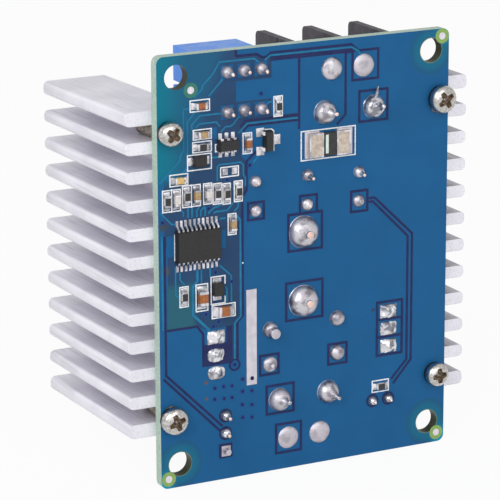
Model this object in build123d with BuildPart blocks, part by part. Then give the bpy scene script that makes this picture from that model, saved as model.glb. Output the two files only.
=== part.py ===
from build123d import *
import math
import os

# Step-down converter module, standing upright: X runs along the board, Z up it, and Y from the
# solder side to the component side. The origin is the middle of the four mounting holes on the
# solder face. Millimetres. Pieces have their places in the layout from that middle, the mounting
# holes and the heatsinks theirs from the board's edges.

# Board
board_width = 44.6
board_height = 60.0
board_thickness = 1.6
board_corner_radius = 1.0
board_middle_z = -0.2
mounting_inset_x = 2.85
mounting_inset_z = 3.1
mounting_hole_diameter = 3.4
lead_hole_clearance = 0.2
lead_sides = 6
rod_sides = 12
head_sides = 14
can_sides = 18

# Heatsinks
fin_count = 12
fin_gap = 2.2
fin_thickness = 1.72
end_fin_thickness = 1.95
fin_depth = 6.45
fin_tip_chamfer = 0.35
end_fin_tip_chamfer = 0.5
sink_base = 2.9
sink_length = 27.4
sink_overhang = 3.95

# Cross recesses, as shares of a screw head's diameter and height
recess_span = 0.6
recess_width = 0.17
recess_depth = 0.6

# Screws that hold the heatsinks to the board
board_screw_thread = 2.5
board_screw_hole = 2.8
board_screw_bite = 6.4
board_screw_head = 3.8
board_screw_head_height = 1.4
board_screw_crown = 0.6
board_screw_dome = 0.65
board_screw_inset = 1.6
tapped_clearance = 0.03

# Trimmers
trimmer_x = -9.42
trimmer_upper_row = 26.9
trimmer_row_pitch = 5.45
trimmer_length = 9.55
trimmer_depth = 4.83
trimmer_height = 9.6
trimmer_standoff = 0.4
trimmer_foot = 1.3
trimmer_body_shift = -0.25
trimmer_row_offset = 0.5
trimmer_pin_pitch = 2.54
trimmer_pin = 0.5
trimmer_pin_tail = 1.85
adjuster_diameter = 2.2
adjuster_height = 1.7
adjuster_slot = 0.55
adjuster_inset = 1.75
adjuster_running_clearance = 0.05

# Terminal blocks, one at each short edge of the board
terminal_x = {"top": 6.62, "bottom": -0.4}
terminal_pitch = 7.62
terminal_side_margin = 0.23
terminal_depth = 12.2
terminal_edge_z = 29.5
terminal_pin_inset = 9.55
terminal_base_height = 5.6
terminal_height = 11.0
terminal_fence = 1.1
terminal_fence_reach = 2.4
terminal_rear_wall = 1.3
terminal_rear_height = 8.4
terminal_corner_radius = 0.8
terminal_seam = 0.25
terminal_seam_height = 4.4
contact_plate = 0.8
contact_margin = 0.6
contact_side_gap = 0.15
terminal_pin = 1.0
terminal_pin_tail = 2.6
clamp_side_gap = 0.4
clamp_depth = 5.4
clamp_thickness = 0.8
terminal_screw_inset = 4.4
terminal_screw_thread = 2.9
terminal_head_margin = 0.2
terminal_screw_head_height = 1.8
terminal_screw_length = 5.2
screw_hole_clearance = 0.2

# Power transistors, clamped to the heatsinks
transistor_z = -12.1
transistor_pin_pitch = 2.54
transistor_seat = 4.5
transistor_width = 10.0
tab_thickness = 1.27
tab_height = 15.6
tab_hole_drop = 2.75
tab_exposed = 6.4
package_thickness = 4.5
transistor_lead_width = 0.8
transistor_lead_thickness = 0.5
transistor_lead_depth = 2.65
transistor_lead_jog = {"left": 0.0, "right": 1.05}
pad_thickness = 0.25
pad_margin = 1.4
transistor_screw_thread = 3.0
transistor_screw_head = 5.4
transistor_screw_head_height = 2.0
transistor_screw_length = 6.0
bushing_flange = 6.2
bushing_flange_thickness = 0.8
bushing_wall = 0.35

# Inductor: a ring core on edge, wound with thick wire
inductor_x = -0.47
inductor_z = -1.34
core_inner_radius = 6.3
core_outer_radius = 10.2
core_height = 8.3
core_edge_chamfer = 0.8
core_sides = 26
wire_diameter = 1.25
wire_clearance = 0.12
winding_turns = 16
winding_gap_angle = 50
winding_lift = 0.25
wire_sides = 6
wire_tail = 2.0

# Electrolytic capacitors
small_can = 7.8
small_can_height = 11.5
small_can_places = {"left": (-7.8, 9.45), "middle": (0.15, 9.4), "right": (8.15, 8.95)}
small_lead_pitch = 4.1
large_can = 9.8
large_can_height = 16.0
large_can_z = {"left": -12.2, "right": -12.0}
# Parts in which the room between the transistors goes to the left, between the cans and right
large_can_gaps = (1.65, 0.65, 2.4)
large_lead_pitch = 5.0
can_standoff = 0.3
can_rim = 0.4
can_groove_height = 1.6
can_groove_depth = 0.3
can_groove_width = 0.8
can_score_depth = 0.15
can_score_width = 0.3
can_lead = 0.55
can_lead_tail = 0.85

# Pin header and indicator
header_place = (-12.52, -23.55)
header_pins = 3
header_pitch = 2.54
header_strip = 2.5
header_corner = 0.5
header_pin = 0.6
header_pin_rise = 6.0
header_pin_tail = 1.0
led_place = (11.85, -22.45)
led_pitch = 2.54
led_flange = 3.8
led_flange_height = 1.0
led_body = 3.0
led_height = 5.1
led_dome_crown = 0.8
led_dome_height = 1.1
led_lead = 0.45
led_lead_tail = 0.9

# Chips on the solder side: middle, and whether the chip stands upright on the board
chip_length = 1.6
chip_width = 0.8
chip_end = 0.3
chip_end_lap = 0.03
resistor_height = 0.5
capacitor_height = 0.75
chip_resistor_places = (
    (-15.73, 17.15, False), (11.84, -20.42, False), (-4.31, 21.51, True), (-21.02, 10.26, True),
    (-18.1, 10.6, True), (-13.53, 10.46, True), (-12.13, 10.3, True), (-10.38, 10.45, True),
    (-18.63, -3.26, True),
)
chip_capacitor_places = (
    (-16.0, 22.78, False), (-15.68, 18.85, False), (-19.2, 12.98, False), (-8.97, 16.9, True),
    (-19.62, 10.3, True), (-16.67, 10.6, True), (-14.96, 10.63, True), (-11.34, 5.98, True),
)
large_chip_length = 2.0
large_chip_width = 1.25
large_chip_end = 0.4
large_chip_height = 0.85
large_chip_places = ((-15.96, -3.71, True), (-12.7, -5.98, False))

# Semiconductors on the solder side
controller_place = (-16.65, 3.85)
controller_body = (6.5, 4.4)
controller_leads = 10
controller_pitch = 0.65
controller_lead_width = 0.25
controller_span = 6.6
driver_place = (-12.1, 17.05)
driver_body = (2.9, 1.6)
driver_leads = 3
driver_pitch = 0.95
driver_lead_width = 0.4
driver_span = 2.8
switch_place = (-6.05, 17.0)
switch_body = (1.3, 2.9)
switch_lead_width = 0.45
switch_pitch = 1.9
switch_span = 2.5
package_body_height = 1.0
package_lift = 0.1
package_draft = 8
lead_sheet = 0.15
lead_foot = 0.5
diode_places = ((-16.24, 15.3, False), (-13.7, -2.75, True))
diode_body = (1.75, 1.4)
diode_height = 0.95
diode_tab = (0.45, 0.6, 0.25)
shunt_place = (3.38, 15.56)
shunt_size = (6.3, 3.2)
shunt_height = 0.6
shunt_terminal = 2.1
shunt_terminal_lap = 0.08

# Solder: radius and height of the cone round each kind of lead, and the shares that slope
joint_rise = 0.85
joint_run = 0.75
terminal_joint = (1.6, 1.3)
trimmer_joint = (0.85, 0.9)
small_can_joint = (0.92, 0.7)
large_can_joint = (1.08, 0.75)
inductor_joint = (2.15, 1.5)
header_joint = (0.75, 0.6)
led_joint = (0.62, 0.55)
filled_pad_radius = 1.55
filled_pad_height = 0.3
filled_pad_crown = 0.7
filled_pad_x = {"top": (3.88, 8.86), "bottom": (-2.81, 2.15)}
filled_pad_inset = {"top": 3.66, "bottom": 3.76}
transistor_pad = (2.7, 1.75)
transistor_pad_height = 0.3
strip_place = (-8.5, -10.35)
strip_size = (1.55, 13.6)
strip_height = 0.15

# Sizes that follow from the ones above
mounting_pitch_x = board_width - 2 * mounting_inset_x
mounting_pitch_z = board_height - 2 * mounting_inset_z
trimmer_rows = {"upper": trimmer_upper_row, "lower": trimmer_upper_row - trimmer_row_pitch}
terminal_pin_z = terminal_edge_z - terminal_pin_inset
terminal_width = 2 * (terminal_pitch + terminal_side_margin)
terminal_fence_offset = (terminal_width - terminal_fence) / 2
terminal_bay = terminal_fence_offset - terminal_fence
clamp_width = terminal_bay - 2 * clamp_side_gap
terminal_screw_head = clamp_width - 2 * terminal_head_margin
package_height = tab_height - tab_exposed
transistor_screw_bite = (
    transistor_screw_length - bushing_flange_thickness - tab_thickness - pad_thickness
)
sink_height = 2 * end_fin_thickness + (fin_count - 2) * fin_thickness + (fin_count - 1) * fin_gap
sink_tip_x = board_width / 2 + sink_overhang
sink_root_x = sink_tip_x - fin_depth
sink_inner_x = sink_root_x - sink_base
transistor_lead_x = sink_inner_x - pad_thickness - transistor_lead_depth
transistor_pin_x = {
    "left": transistor_lead_jog["left"] - transistor_lead_x,
    "right": transistor_lead_x - transistor_lead_jog["right"],
}
package_front_x = sink_inner_x - pad_thickness - package_thickness
large_can_gap_unit = 2 * (package_front_x - large_can) / sum(large_can_gaps)
large_can_offset = package_front_x - large_can / 2
large_can_places = {
    "left": (large_can_gaps[0] * large_can_gap_unit - large_can_offset, large_can_z["left"]),
    "right": (large_can_offset - large_can_gaps[2] * large_can_gap_unit, large_can_z["right"]),
}
channel_offset_z = sink_height / 2 - end_fin_thickness - fin_gap / 2
board_screw_x = board_width / 2 - board_screw_inset
board_screw_places = [
    (side * board_screw_x, board_middle_z + level * channel_offset_z)
    for side in (-1, 1)
    for level in (-1, 1)
]
tab_hole_y = board_thickness + transistor_seat + tab_height - tab_hole_drop
inductor_reach = core_outer_radius + wire_clearance + wire_diameter
inductor_y = board_thickness + winding_lift + inductor_reach
wire_offset = wire_clearance + wire_diameter / 2
inductor_lead_z = core_height / 2 + wire_offset

trimmer_pin_places = [
    (trimmer_x + step * trimmer_pin_pitch, row)
    for row in trimmer_rows.values()
    for step in (-1, 0, 1)
]
terminal_sign = {"top": 1, "bottom": -1}
filled_pad_places = [
    (x, terminal_sign[end] * (terminal_edge_z - filled_pad_inset[end]))
    for end in filled_pad_x
    for x in filled_pad_x[end]
]
terminal_pin_places = [
    (terminal_x[end] + step * terminal_pitch / 2, terminal_sign[end] * terminal_pin_z)
    for end in terminal_x
    for step in (-1, 1)
]
small_lead_places = [
    (x, z + step * small_lead_pitch / 2) for x, z in small_can_places.values() for step in (-1, 1)
]
large_lead_places = [
    (x, z + step * large_lead_pitch / 2) for x, z in large_can_places.values() for step in (-1, 1)
]
inductor_lead_places = [(inductor_x, inductor_z + step * inductor_lead_z) for step in (-1, 1)]
transistor_pin_places = [
    (x, transistor_z + step * transistor_pin_pitch)
    for x in transistor_pin_x.values()
    for step in (-1, 0, 1)
]
header_pin_places = [
    (header_place[0], header_place[1] + (step - (header_pins - 1) / 2) * header_pitch)
    for step in range(header_pins)
]
led_lead_places = [(led_place[0] + step * led_pitch / 2, led_place[1]) for step in (-1, 1)]
transistor_lead_diagonal = math.hypot(transistor_lead_width, transistor_lead_thickness)
header_pin_diagonal = math.hypot(header_pin, header_pin)

os.makedirs("parts", exist_ok=True)


def at_depth(depth):
    """Plane parallel to the board: local x is X, local y is Z, and negative extrusions go to +Y."""
    return Plane.XZ.offset(-depth)


def save(piece, name):
    """Labels a finished piece and writes it under its node's name."""
    piece.part.label = name
    export_step(piece.part, f"parts/{name}.step")


# Circuit board
with BuildPart() as circuit_board:
    with BuildSketch(at_depth(0)):
        with Locations((0, board_middle_z)):
            RectangleRounded(board_width, board_height, board_corner_radius)
        with GridLocations(mounting_pitch_x, mounting_pitch_z, 2, 2):
            Circle(mounting_hole_diameter / 2, mode=Mode.SUBTRACT)
        with Locations(*board_screw_places):
            RegularPolygon(board_screw_hole / 2, rod_sides, mode=Mode.SUBTRACT)
        for lead_size, places in (
            (trimmer_pin, trimmer_pin_places),
            (terminal_pin, terminal_pin_places),
            (can_lead, small_lead_places + large_lead_places),
            (wire_diameter, inductor_lead_places),
            (transistor_lead_diagonal, transistor_pin_places),
            (header_pin_diagonal, header_pin_places),
            (led_lead, led_lead_places),
        ):
            with Locations(*places):
                hole_radius = (lead_size + lead_hole_clearance) / 2
                RegularPolygon(hole_radius, lead_sides, mode=Mode.SUBTRACT)
    extrude(amount=-board_thickness)
save(circuit_board, "circuit_board")


# Heatsinks
def fin_middles():
    """Height of the middle of each inner fin."""
    first = board_middle_z - sink_height / 2 + end_fin_thickness + fin_gap + fin_thickness / 2
    return [first + row * (fin_thickness + fin_gap) for row in range(fin_count - 2)]


def make_heatsink(name, side):
    """One extruded profile; side is -1 at the left edge of the board and 1 at the right."""
    end_fin_offset = (sink_height - end_fin_thickness) / 2
    with BuildPart() as heatsink:
        with BuildSketch(at_depth(board_thickness)):
            with Locations((side * (sink_inner_x + sink_base / 2), board_middle_z)):
                Rectangle(sink_base, sink_height)
            fins = [(z, fin_thickness, fin_tip_chamfer) for z in fin_middles()]
            for level in (-1, 1):
                end_z = board_middle_z + level * end_fin_offset
                fins.append((end_z, end_fin_thickness, end_fin_tip_chamfer))
            for z, thickness, corner in fins:
                root = sink_root_x - corner
                half = thickness / 2
                with BuildLine():
                    Polyline(
                        (side * root, z - half),
                        (side * (sink_tip_x - corner), z - half),
                        (side * sink_tip_x, z - half + corner),
                        (side * sink_tip_x, z + half - corner),
                        (side * (sink_tip_x - corner), z + half),
                        (side * root, z + half),
                        close=True,
                    )
                make_face()
        extrude(amount=-sink_length)
        # Holes for the screws that bite into the channels beside the end fins
        with BuildSketch(at_depth(board_thickness)):
            with Locations(*[place for place in board_screw_places if place[0] * side > 0]):
                RegularPolygon(board_screw_thread / 2 + tapped_clearance, rod_sides)
        extrude(amount=-board_screw_bite - screw_hole_clearance, mode=Mode.SUBTRACT)
        # Tapped hole for the transistor's screw
        with BuildSketch(Plane.YZ.offset(side * sink_inner_x)):
            with Locations((tab_hole_y, transistor_z)):
                RegularPolygon(transistor_screw_thread / 2 + tapped_clearance, rod_sides)
        extrude(amount=side * (transistor_screw_bite + screw_hole_clearance), mode=Mode.SUBTRACT)
    save(heatsink, name)


make_heatsink("heatsink_left", -1)
make_heatsink("heatsink_right", 1)


# Screws that hold the heatsinks, with pan heads and cross recesses
with BuildPart() as heatsink_screws:
    with BuildSketch(at_depth(0)):
        with Locations(*board_screw_places):
            RegularPolygon(board_screw_head / 2, head_sides)
    extrude(amount=board_screw_head_height)
    for crown in heatsink_screws.faces().filter_by(Plane.XZ).group_by(Axis.Y)[0]:
        chamfer(crown.edges(), board_screw_crown, board_screw_dome, reference=crown)
    with BuildSketch(at_depth(board_thickness + board_screw_bite)):
        with Locations(*board_screw_places):
            RegularPolygon(board_screw_thread / 2, rod_sides)
    extrude(amount=board_thickness + board_screw_bite)
    with BuildSketch(at_depth(-board_screw_head_height)):
        with Locations(*board_screw_places):
            Rectangle(board_screw_head * recess_span, board_screw_head * recess_width)
            Rectangle(board_screw_head * recess_width, board_screw_head * recess_span)
    extrude(amount=-board_screw_head_height * recess_depth, mode=Mode.SUBTRACT)
save(heatsink_screws, "heatsink_screws")


# Trimmers
def make_trimmer(row, pin_z):
    """Body, adjusting screw and pins of one multi-turn trimmer."""
    middle = (trimmer_x + trimmer_body_shift, pin_z - trimmer_row_offset)
    adjuster_place = (middle[0] - trimmer_length / 2 + adjuster_inset, middle[1])
    underside = board_thickness + trimmer_standoff
    top = underside + trimmer_height
    well_radius = adjuster_diameter / 2 + adjuster_running_clearance
    with BuildPart() as body:
        with BuildSketch(at_depth(underside)):
            with Locations(middle):
                Rectangle(trimmer_length, trimmer_depth)
        extrude(amount=-trimmer_height)
        upper_edges = body.faces().sort_by(Axis.Y)[-1].edges()
        chamfer(upper_edges, 0.25)
        with BuildSketch(at_depth(board_thickness)):
            foot_offset = (trimmer_length - trimmer_foot) / 2
            with Locations((middle[0] - foot_offset, middle[1]), (middle[0] + foot_offset, middle[1])):
                Rectangle(trimmer_foot, trimmer_depth)
        extrude(amount=-trimmer_standoff)
        with BuildSketch(at_depth(top)):
            with Locations(adjuster_place):
                Circle(well_radius)
        extrude(amount=adjuster_height, mode=Mode.SUBTRACT)
    save(body, f"trimmer_{row}_body")

    with BuildPart() as adjuster:
        with BuildSketch(at_depth(top)):
            with Locations(adjuster_place):
                Circle(adjuster_diameter / 2)
        extrude(amount=adjuster_height - adjuster_running_clearance)
        with BuildSketch(at_depth(top)):
            with Locations(adjuster_place):
                Rectangle(adjuster_diameter, adjuster_slot)
        extrude(amount=adjuster_slot, mode=Mode.SUBTRACT)
    save(adjuster, f"trimmer_{row}_adjuster")

    with BuildPart() as pins:
        with BuildSketch(at_depth(-trimmer_pin_tail)):
            with Locations(*[place for place in trimmer_pin_places if place[1] == pin_z]):
                RegularPolygon(trimmer_pin / 2, lead_sides)
        extrude(amount=-trimmer_pin_tail - underside)
    save(pins, f"trimmer_{row}_pins")


for row_name, row_z in trimmer_rows.items():
    make_trimmer(row_name, row_z)


# Terminal blocks
def make_terminal(end):
    """Barrier block with two clamped contacts at one end of the board."""
    sign = terminal_sign[end]
    middle_x = terminal_x[end]
    middle_z = sign * (terminal_edge_z - terminal_depth / 2)
    base_depth = terminal_depth - terminal_fence_reach
    base_z = sign * (terminal_edge_z - terminal_fence_reach - base_depth / 2)
    base_top = board_thickness + terminal_base_height
    screw_z = sign * (terminal_edge_z - terminal_screw_inset)
    bay_middles = [middle_x + step * terminal_fence_offset / 2 for step in (-1, 1)]
    pin_places = [place for place in terminal_pin_places if place[1] * sign > 0]
    screw_places = [(x, screw_z) for x in bay_middles]
    fence_places = [middle_x + step * terminal_fence_offset for step in (-1, 0, 1)]

    with BuildPart() as block:
        with BuildSketch(at_depth(board_thickness)):
            with Locations((middle_x, base_z)):
                Rectangle(terminal_width, base_depth)
        extrude(amount=-terminal_base_height)
        # Fences beside and between the wires, which reach past the base to the board's edge
        for fence_x in fence_places:
            with BuildSketch(Plane.YZ.offset(fence_x)) as fence:
                with Locations((board_thickness + terminal_height / 2, middle_z)):
                    Rectangle(terminal_height, terminal_depth)
                outer_corners = fence.vertices().group_by(Axis.X)[-1]
                edge_corner = outer_corners.sort_by(Axis.Y)[-1 if sign > 0 else 0]
                fillet(edge_corner, terminal_corner_radius)
            extrude(amount=terminal_fence / 2, both=True)
        # Rear wall
        with BuildSketch(at_depth(board_thickness)):
            rear_z = sign * (terminal_edge_z - terminal_depth + terminal_rear_wall / 2)
            with Locations((middle_x, rear_z)):
                Rectangle(terminal_width, terminal_rear_wall)
        extrude(amount=-terminal_rear_height)
        # Seam between the base and the fences
        for flank_x in (middle_x - terminal_width / 2, middle_x + terminal_width / 2):
            with BuildSketch(Plane.YZ.offset(flank_x)):
                with Locations((board_thickness + terminal_seam_height, middle_z)):
                    Rectangle(terminal_seam, terminal_depth)
            extrude(amount=terminal_seam / 2, both=True, mode=Mode.SUBTRACT)
        # Ways for the pins and the ends of the screws
        with BuildSketch(at_depth(board_thickness)):
            with Locations(*pin_places):
                RegularPolygon((terminal_pin + screw_hole_clearance) / 2, lead_sides)
        extrude(amount=-terminal_base_height, mode=Mode.SUBTRACT)
        with BuildSketch(at_depth(base_top)):
            with Locations(*screw_places):
                RegularPolygon((terminal_screw_thread + screw_hole_clearance) / 2, rod_sides)
        extrude(amount=terminal_screw_length - contact_plate, mode=Mode.SUBTRACT)
    save(block, f"terminal_{end}_block")

    with BuildPart() as contacts:
        plate_depth = base_depth - terminal_rear_wall - 2 * contact_margin
        plate_edge = terminal_edge_z - terminal_fence_reach - contact_margin
        plate_z = sign * (plate_edge - plate_depth / 2)
        with BuildSketch(at_depth(base_top)):
            with Locations(*[(x, plate_z) for x in bay_middles]):
                Rectangle(terminal_bay - 2 * contact_side_gap, plate_depth)
            with Locations(*screw_places):
                thread_radius = terminal_screw_thread / 2 + tapped_clearance
                RegularPolygon(thread_radius, rod_sides, mode=Mode.SUBTRACT)
        extrude(amount=-contact_plate)
        with BuildSketch(at_depth(-terminal_pin_tail)):
            with Locations(*pin_places):
                RegularPolygon(terminal_pin / 2, lead_sides)
        extrude(amount=-terminal_pin_tail - base_top)
    save(contacts, f"terminal_{end}_contacts")

    with BuildPart() as clamps:
        with BuildSketch(at_depth(base_top + contact_plate)):
            with Locations(*screw_places):
                Rectangle(clamp_width, clamp_depth)
                clearance_radius = (terminal_screw_thread + screw_hole_clearance) / 2
                RegularPolygon(clearance_radius, rod_sides, mode=Mode.SUBTRACT)
        extrude(amount=-clamp_thickness)
    save(clamps, f"terminal_{end}_clamps")

    head_seat = base_top + contact_plate + clamp_thickness
    with BuildPart() as screws:
        with BuildSketch(at_depth(head_seat)):
            with Locations(*screw_places):
                RegularPolygon(terminal_screw_head / 2, head_sides)
        extrude(amount=-terminal_screw_head_height)
        chamfer(screws.faces().sort_by(Axis.Y)[-2:].edges(), 0.4)
        with BuildSketch(at_depth(head_seat)):
            with Locations(*screw_places):
                RegularPolygon(terminal_screw_thread / 2, rod_sides)
        extrude(amount=terminal_screw_length)
        with BuildSketch(at_depth(head_seat + terminal_screw_head_height)):
            with Locations(*screw_places):
                Rectangle(terminal_screw_head, terminal_screw_head * recess_width)
                Rectangle(terminal_screw_head * recess_width, terminal_screw_head * recess_span)
        extrude(amount=terminal_screw_head_height * recess_depth, mode=Mode.SUBTRACT)
    save(screws, f"terminal_{end}_screws")


for end_name in terminal_x:
    make_terminal(end_name)


# Power transistors
def make_transistor(name, side):
    """A tab package on an insulating pad, screwed to the inside of a heatsink."""
    pin_x = transistor_pin_x[name]
    seat_y = board_thickness + transistor_seat
    tab_back = side * (sink_inner_x - pad_thickness)
    tab_front = tab_back - side * tab_thickness
    lead_x = side * transistor_lead_x
    tab_middle_y = seat_y + tab_height / 2
    hole_place = (tab_hole_y, transistor_z)
    bore_radius = transistor_screw_thread / 2 + tapped_clearance
    sleeve_radius = bore_radius + bushing_wall

    with BuildPart() as pad:
        with BuildSketch(Plane.YZ.offset(side * sink_inner_x)):
            with Locations((tab_middle_y, transistor_z)):
                Rectangle(tab_height + 2 * pad_margin, transistor_width + 2 * pad_margin)
            with Locations(hole_place):
                RegularPolygon(sleeve_radius, rod_sides, mode=Mode.SUBTRACT)
        extrude(amount=-side * pad_thickness)
    save(pad, f"transistor_{name}_pad")

    with BuildPart() as leadframe:
        with BuildSketch(Plane.YZ.offset(tab_back)):
            with Locations((tab_middle_y, transistor_z)):
                Rectangle(tab_height, transistor_width)
            with Locations(hole_place):
                RegularPolygon(sleeve_radius + tapped_clearance, rod_sides, mode=Mode.SUBTRACT)
        extrude(amount=-side * tab_thickness)
        top_corners = leadframe.edges().filter_by(Axis.X).group_by(Axis.Y)[-1]
        chamfer(top_corners, 1.2)
        # Leads, offset on their way down where the board's holes are further in
        bend_start = board_thickness + transistor_seat * 0.75
        bend_end = board_thickness + transistor_seat * 0.25
        half = transistor_lead_thickness / 2
        for step in (-1, 0, 1):
            lead_z = transistor_z + step * transistor_pin_pitch
            with BuildSketch(Plane.XY.offset(lead_z)):
                with BuildLine():
                    Polyline(
                        (lead_x - half, seat_y),
                        (lead_x - half, bend_start),
                        (pin_x - half, bend_end),
                        (pin_x - half, 0),
                        (pin_x + half, 0),
                        (pin_x + half, bend_end),
                        (lead_x + half, bend_start),
                        (lead_x + half, seat_y),
                        close=True,
                    )
                make_face()
            extrude(amount=transistor_lead_width / 2, both=True)
    save(leadframe, f"transistor_{name}_leadframe")

    with BuildPart() as package:
        with BuildSketch(Plane.YZ.offset(tab_front)):
            with Locations((seat_y + package_height / 2, transistor_z)):
                Rectangle(package_height, transistor_width)
        extrude(amount=-side * (package_thickness - tab_thickness))
        front_face = package.faces().sort_by(Axis.X)[0 if side > 0 else -1]
        chamfer(front_face.edges(), 0.4)
    save(package, f"transistor_{name}_package")

    with BuildPart() as bushing:
        with BuildSketch(Plane.YZ.offset(tab_front)):
            with Locations(hole_place):
                RegularPolygon(bushing_flange / 2, head_sides)
        extrude(amount=-side * bushing_flange_thickness)
        with BuildSketch(Plane.YZ.offset(tab_front)):
            with Locations(hole_place):
                RegularPolygon(sleeve_radius, rod_sides)
        extrude(amount=side * tab_thickness)
        with BuildSketch(Plane.YZ.offset(tab_front - side * bushing_flange_thickness)):
            with Locations(hole_place):
                RegularPolygon(bore_radius, rod_sides)
        extrude(amount=side * (bushing_flange_thickness + tab_thickness), mode=Mode.SUBTRACT)
    save(bushing, f"transistor_{name}_bushing")

    screw_seat = tab_front - side * bushing_flange_thickness
    with BuildPart() as screw:
        with BuildSketch(Plane.YZ.offset(screw_seat)):
            with Locations(hole_place):
                RegularPolygon(transistor_screw_head / 2, head_sides)
        extrude(amount=-side * transistor_screw_head_height)
        head_face = screw.faces().sort_by(Axis.X)[0 if side > 0 else -1]
        chamfer(head_face.edges(), 0.5)
        with BuildSketch(Plane.YZ.offset(screw_seat)):
            with Locations(hole_place):
                RegularPolygon(transistor_screw_thread / 2, rod_sides)
        extrude(amount=side * transistor_screw_length)
        with BuildSketch(Plane.YZ.offset(screw_seat - side * transistor_screw_head_height)):
            with Locations(hole_place):
                recess_long = transistor_screw_head * recess_span
                recess_short = transistor_screw_head * recess_width
                Rectangle(recess_long, recess_short)
                Rectangle(recess_short, recess_long)
        extrude(amount=side * transistor_screw_head_height * recess_depth, mode=Mode.SUBTRACT)
    save(screw, f"transistor_{name}_screw")


make_transistor("left", -1)
make_transistor("right", 1)


# Inductor
core_plane = Plane.XY.offset(inductor_z)
with BuildPart() as inductor_core:
    with BuildSketch(core_plane.offset(-core_height / 2)):
        with Locations((inductor_x, inductor_y)):
            RegularPolygon(core_outer_radius, core_sides)
            RegularPolygon(core_inner_radius, core_sides, mode=Mode.SUBTRACT)
    extrude(amount=core_height)
    outline = inductor_core.faces().filter_by(Axis.Z)
    chamfer([face.outer_wire().edges() for face in outline], core_edge_chamfer)
save(inductor_core, "inductor_core")


def winding_route():
    """Centre line of the wire: up one lead, round the core turn by turn, and down the other."""
    outer = core_outer_radius + wire_offset
    inner = core_inner_radius - wire_offset
    face = inductor_lead_z
    corner = core_edge_chamfer
    half_gap = winding_gap_angle / 2
    turn_angle = (360 - winding_gap_angle) / (winding_turns + 0.4)
    # Radius, height and share of the turn at each corner of one turn
    section = (
        (outer - corner, face, 0.0),
        (outer, face - corner, 0.06),
        (outer, -face + corner, 0.34),
        (outer - corner, -face, 0.4),
        (inner, -face, 0.58),
        (inner, face, 0.82),
    )
    corner_count = winding_turns * len(section) + 4
    corners = [(*section[n % len(section)], n // len(section)) for n in range(corner_count)]
    lead_bend = board_thickness + wire_diameter
    points = [(inductor_x, y, inductor_z + face) for y in (-wire_tail, lead_bend)]
    for radius, height, share, turn in corners:
        angle = math.radians(-90 + half_gap + (turn + share) * turn_angle)
        points.append(
            (
                inductor_x + radius * math.cos(angle),
                inductor_y + radius * math.sin(angle),
                inductor_z + height,
            )
        )
    points += [(inductor_x, y, inductor_z - face) for y in (lead_bend, -wire_tail)]
    return points


with BuildPart() as inductor_winding:
    with BuildLine() as wire_path:
        Polyline(*winding_route())
    start = wire_path.line @ 0
    with BuildSketch(Plane(start, z_dir=wire_path.line % 0)):
        RegularPolygon(wire_diameter / 2, wire_sides)
    sweep(transition=Transition.RIGHT)
save(inductor_winding, "inductor_winding")


# Capacitors
def make_can(name, place, diameter, height):
    """A sleeved can: rolled groove near the base, chamfered rim and scored vent on top."""
    base = board_thickness + can_standoff
    radius = diameter / 2
    # Radius and length of each stage from the base up
    stages = (
        (radius, can_groove_height),
        (radius - can_groove_depth, can_groove_width),
        (radius, height - can_groove_height - can_groove_width),
    )
    level = base
    with BuildPart() as can:
        for stage_radius, length in stages:
            with BuildSketch(at_depth(level)):
                with Locations(place):
                    RegularPolygon(stage_radius, can_sides)
            extrude(amount=-length)
            level += length
        chamfer(can.faces().sort_by(Axis.Y)[-1].edges(), can_rim)
        with BuildSketch(at_depth(level)):
            with Locations(place):
                Rectangle(diameter * 0.66, can_score_width)
                Rectangle(can_score_width, diameter * 0.66)
        extrude(amount=can_score_depth, mode=Mode.SUBTRACT)
    save(can, name)


for can_name, can_place in small_can_places.items():
    make_can(f"capacitor_small_{can_name}", can_place, small_can, small_can_height)
for can_name, can_place in large_can_places.items():
    make_can(f"capacitor_large_{can_name}", can_place, large_can, large_can_height)

with BuildPart() as capacitor_leads:
    with BuildSketch(at_depth(-can_lead_tail)):
        with Locations(*small_lead_places, *large_lead_places):
            RegularPolygon(can_lead / 2, lead_sides)
    extrude(amount=-can_lead_tail - board_thickness - can_standoff)
save(capacitor_leads, "capacitor_leads")

# Pin header
with BuildPart() as header_body:
    for pin_place in header_pin_places:
        with BuildSketch(at_depth(board_thickness)) as cell:
            with Locations(pin_place):
                Rectangle(header_strip, header_pitch)
                chamfer(cell.vertices(), header_corner)
                Rectangle(header_pin, header_pin, mode=Mode.SUBTRACT)
        extrude(amount=-header_strip)
save(header_body, "header_body")

with BuildPart() as header_pin_group:
    with BuildSketch(at_depth(-header_pin_tail)):
        with Locations(*header_pin_places):
            Rectangle(header_pin, header_pin)
    extrude(amount=-header_pin_tail - board_thickness - header_strip - header_pin_rise)
save(header_pin_group, "header_pins")

# Indicator
with BuildPart() as led_lens:
    with BuildSketch(at_depth(board_thickness)):
        with Locations(led_place):
            RegularPolygon(led_body / 2, rod_sides)
    extrude(amount=-led_height)
    tip = led_lens.faces().sort_by(Axis.Y)[-1]
    chamfer(tip.edges(), led_dome_crown, led_dome_height, reference=tip)
    with BuildSketch(at_depth(board_thickness)):
        with Locations(led_place):
            RegularPolygon(led_flange / 2, rod_sides)
    extrude(amount=-led_flange_height)
save(led_lens, "led_lens")

with BuildPart() as led_leads:
    with BuildSketch(at_depth(-led_lead_tail)):
        with Locations(*led_lead_places):
            RegularPolygon(led_lead / 2, lead_sides)
    extrude(amount=-led_lead_tail - board_thickness)
save(led_leads, "led_leads")


# Chip resistors and capacitors
def chip_box(length, width, height, upright):
    """A box on the solder face, along Z when upright and along X otherwise."""
    size = (width, length) if upright else (length, width)
    Box(size[0], height, size[1], align=(Align.CENTER, Align.MAX, Align.CENTER))


with BuildPart() as chip_resistors:
    for x, z, upright in chip_resistor_places:
        with Locations((x, 0, z)):
            chip_box(chip_length - 2 * chip_end, chip_width, resistor_height, upright)
save(chip_resistors, "chip_resistors")

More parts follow.
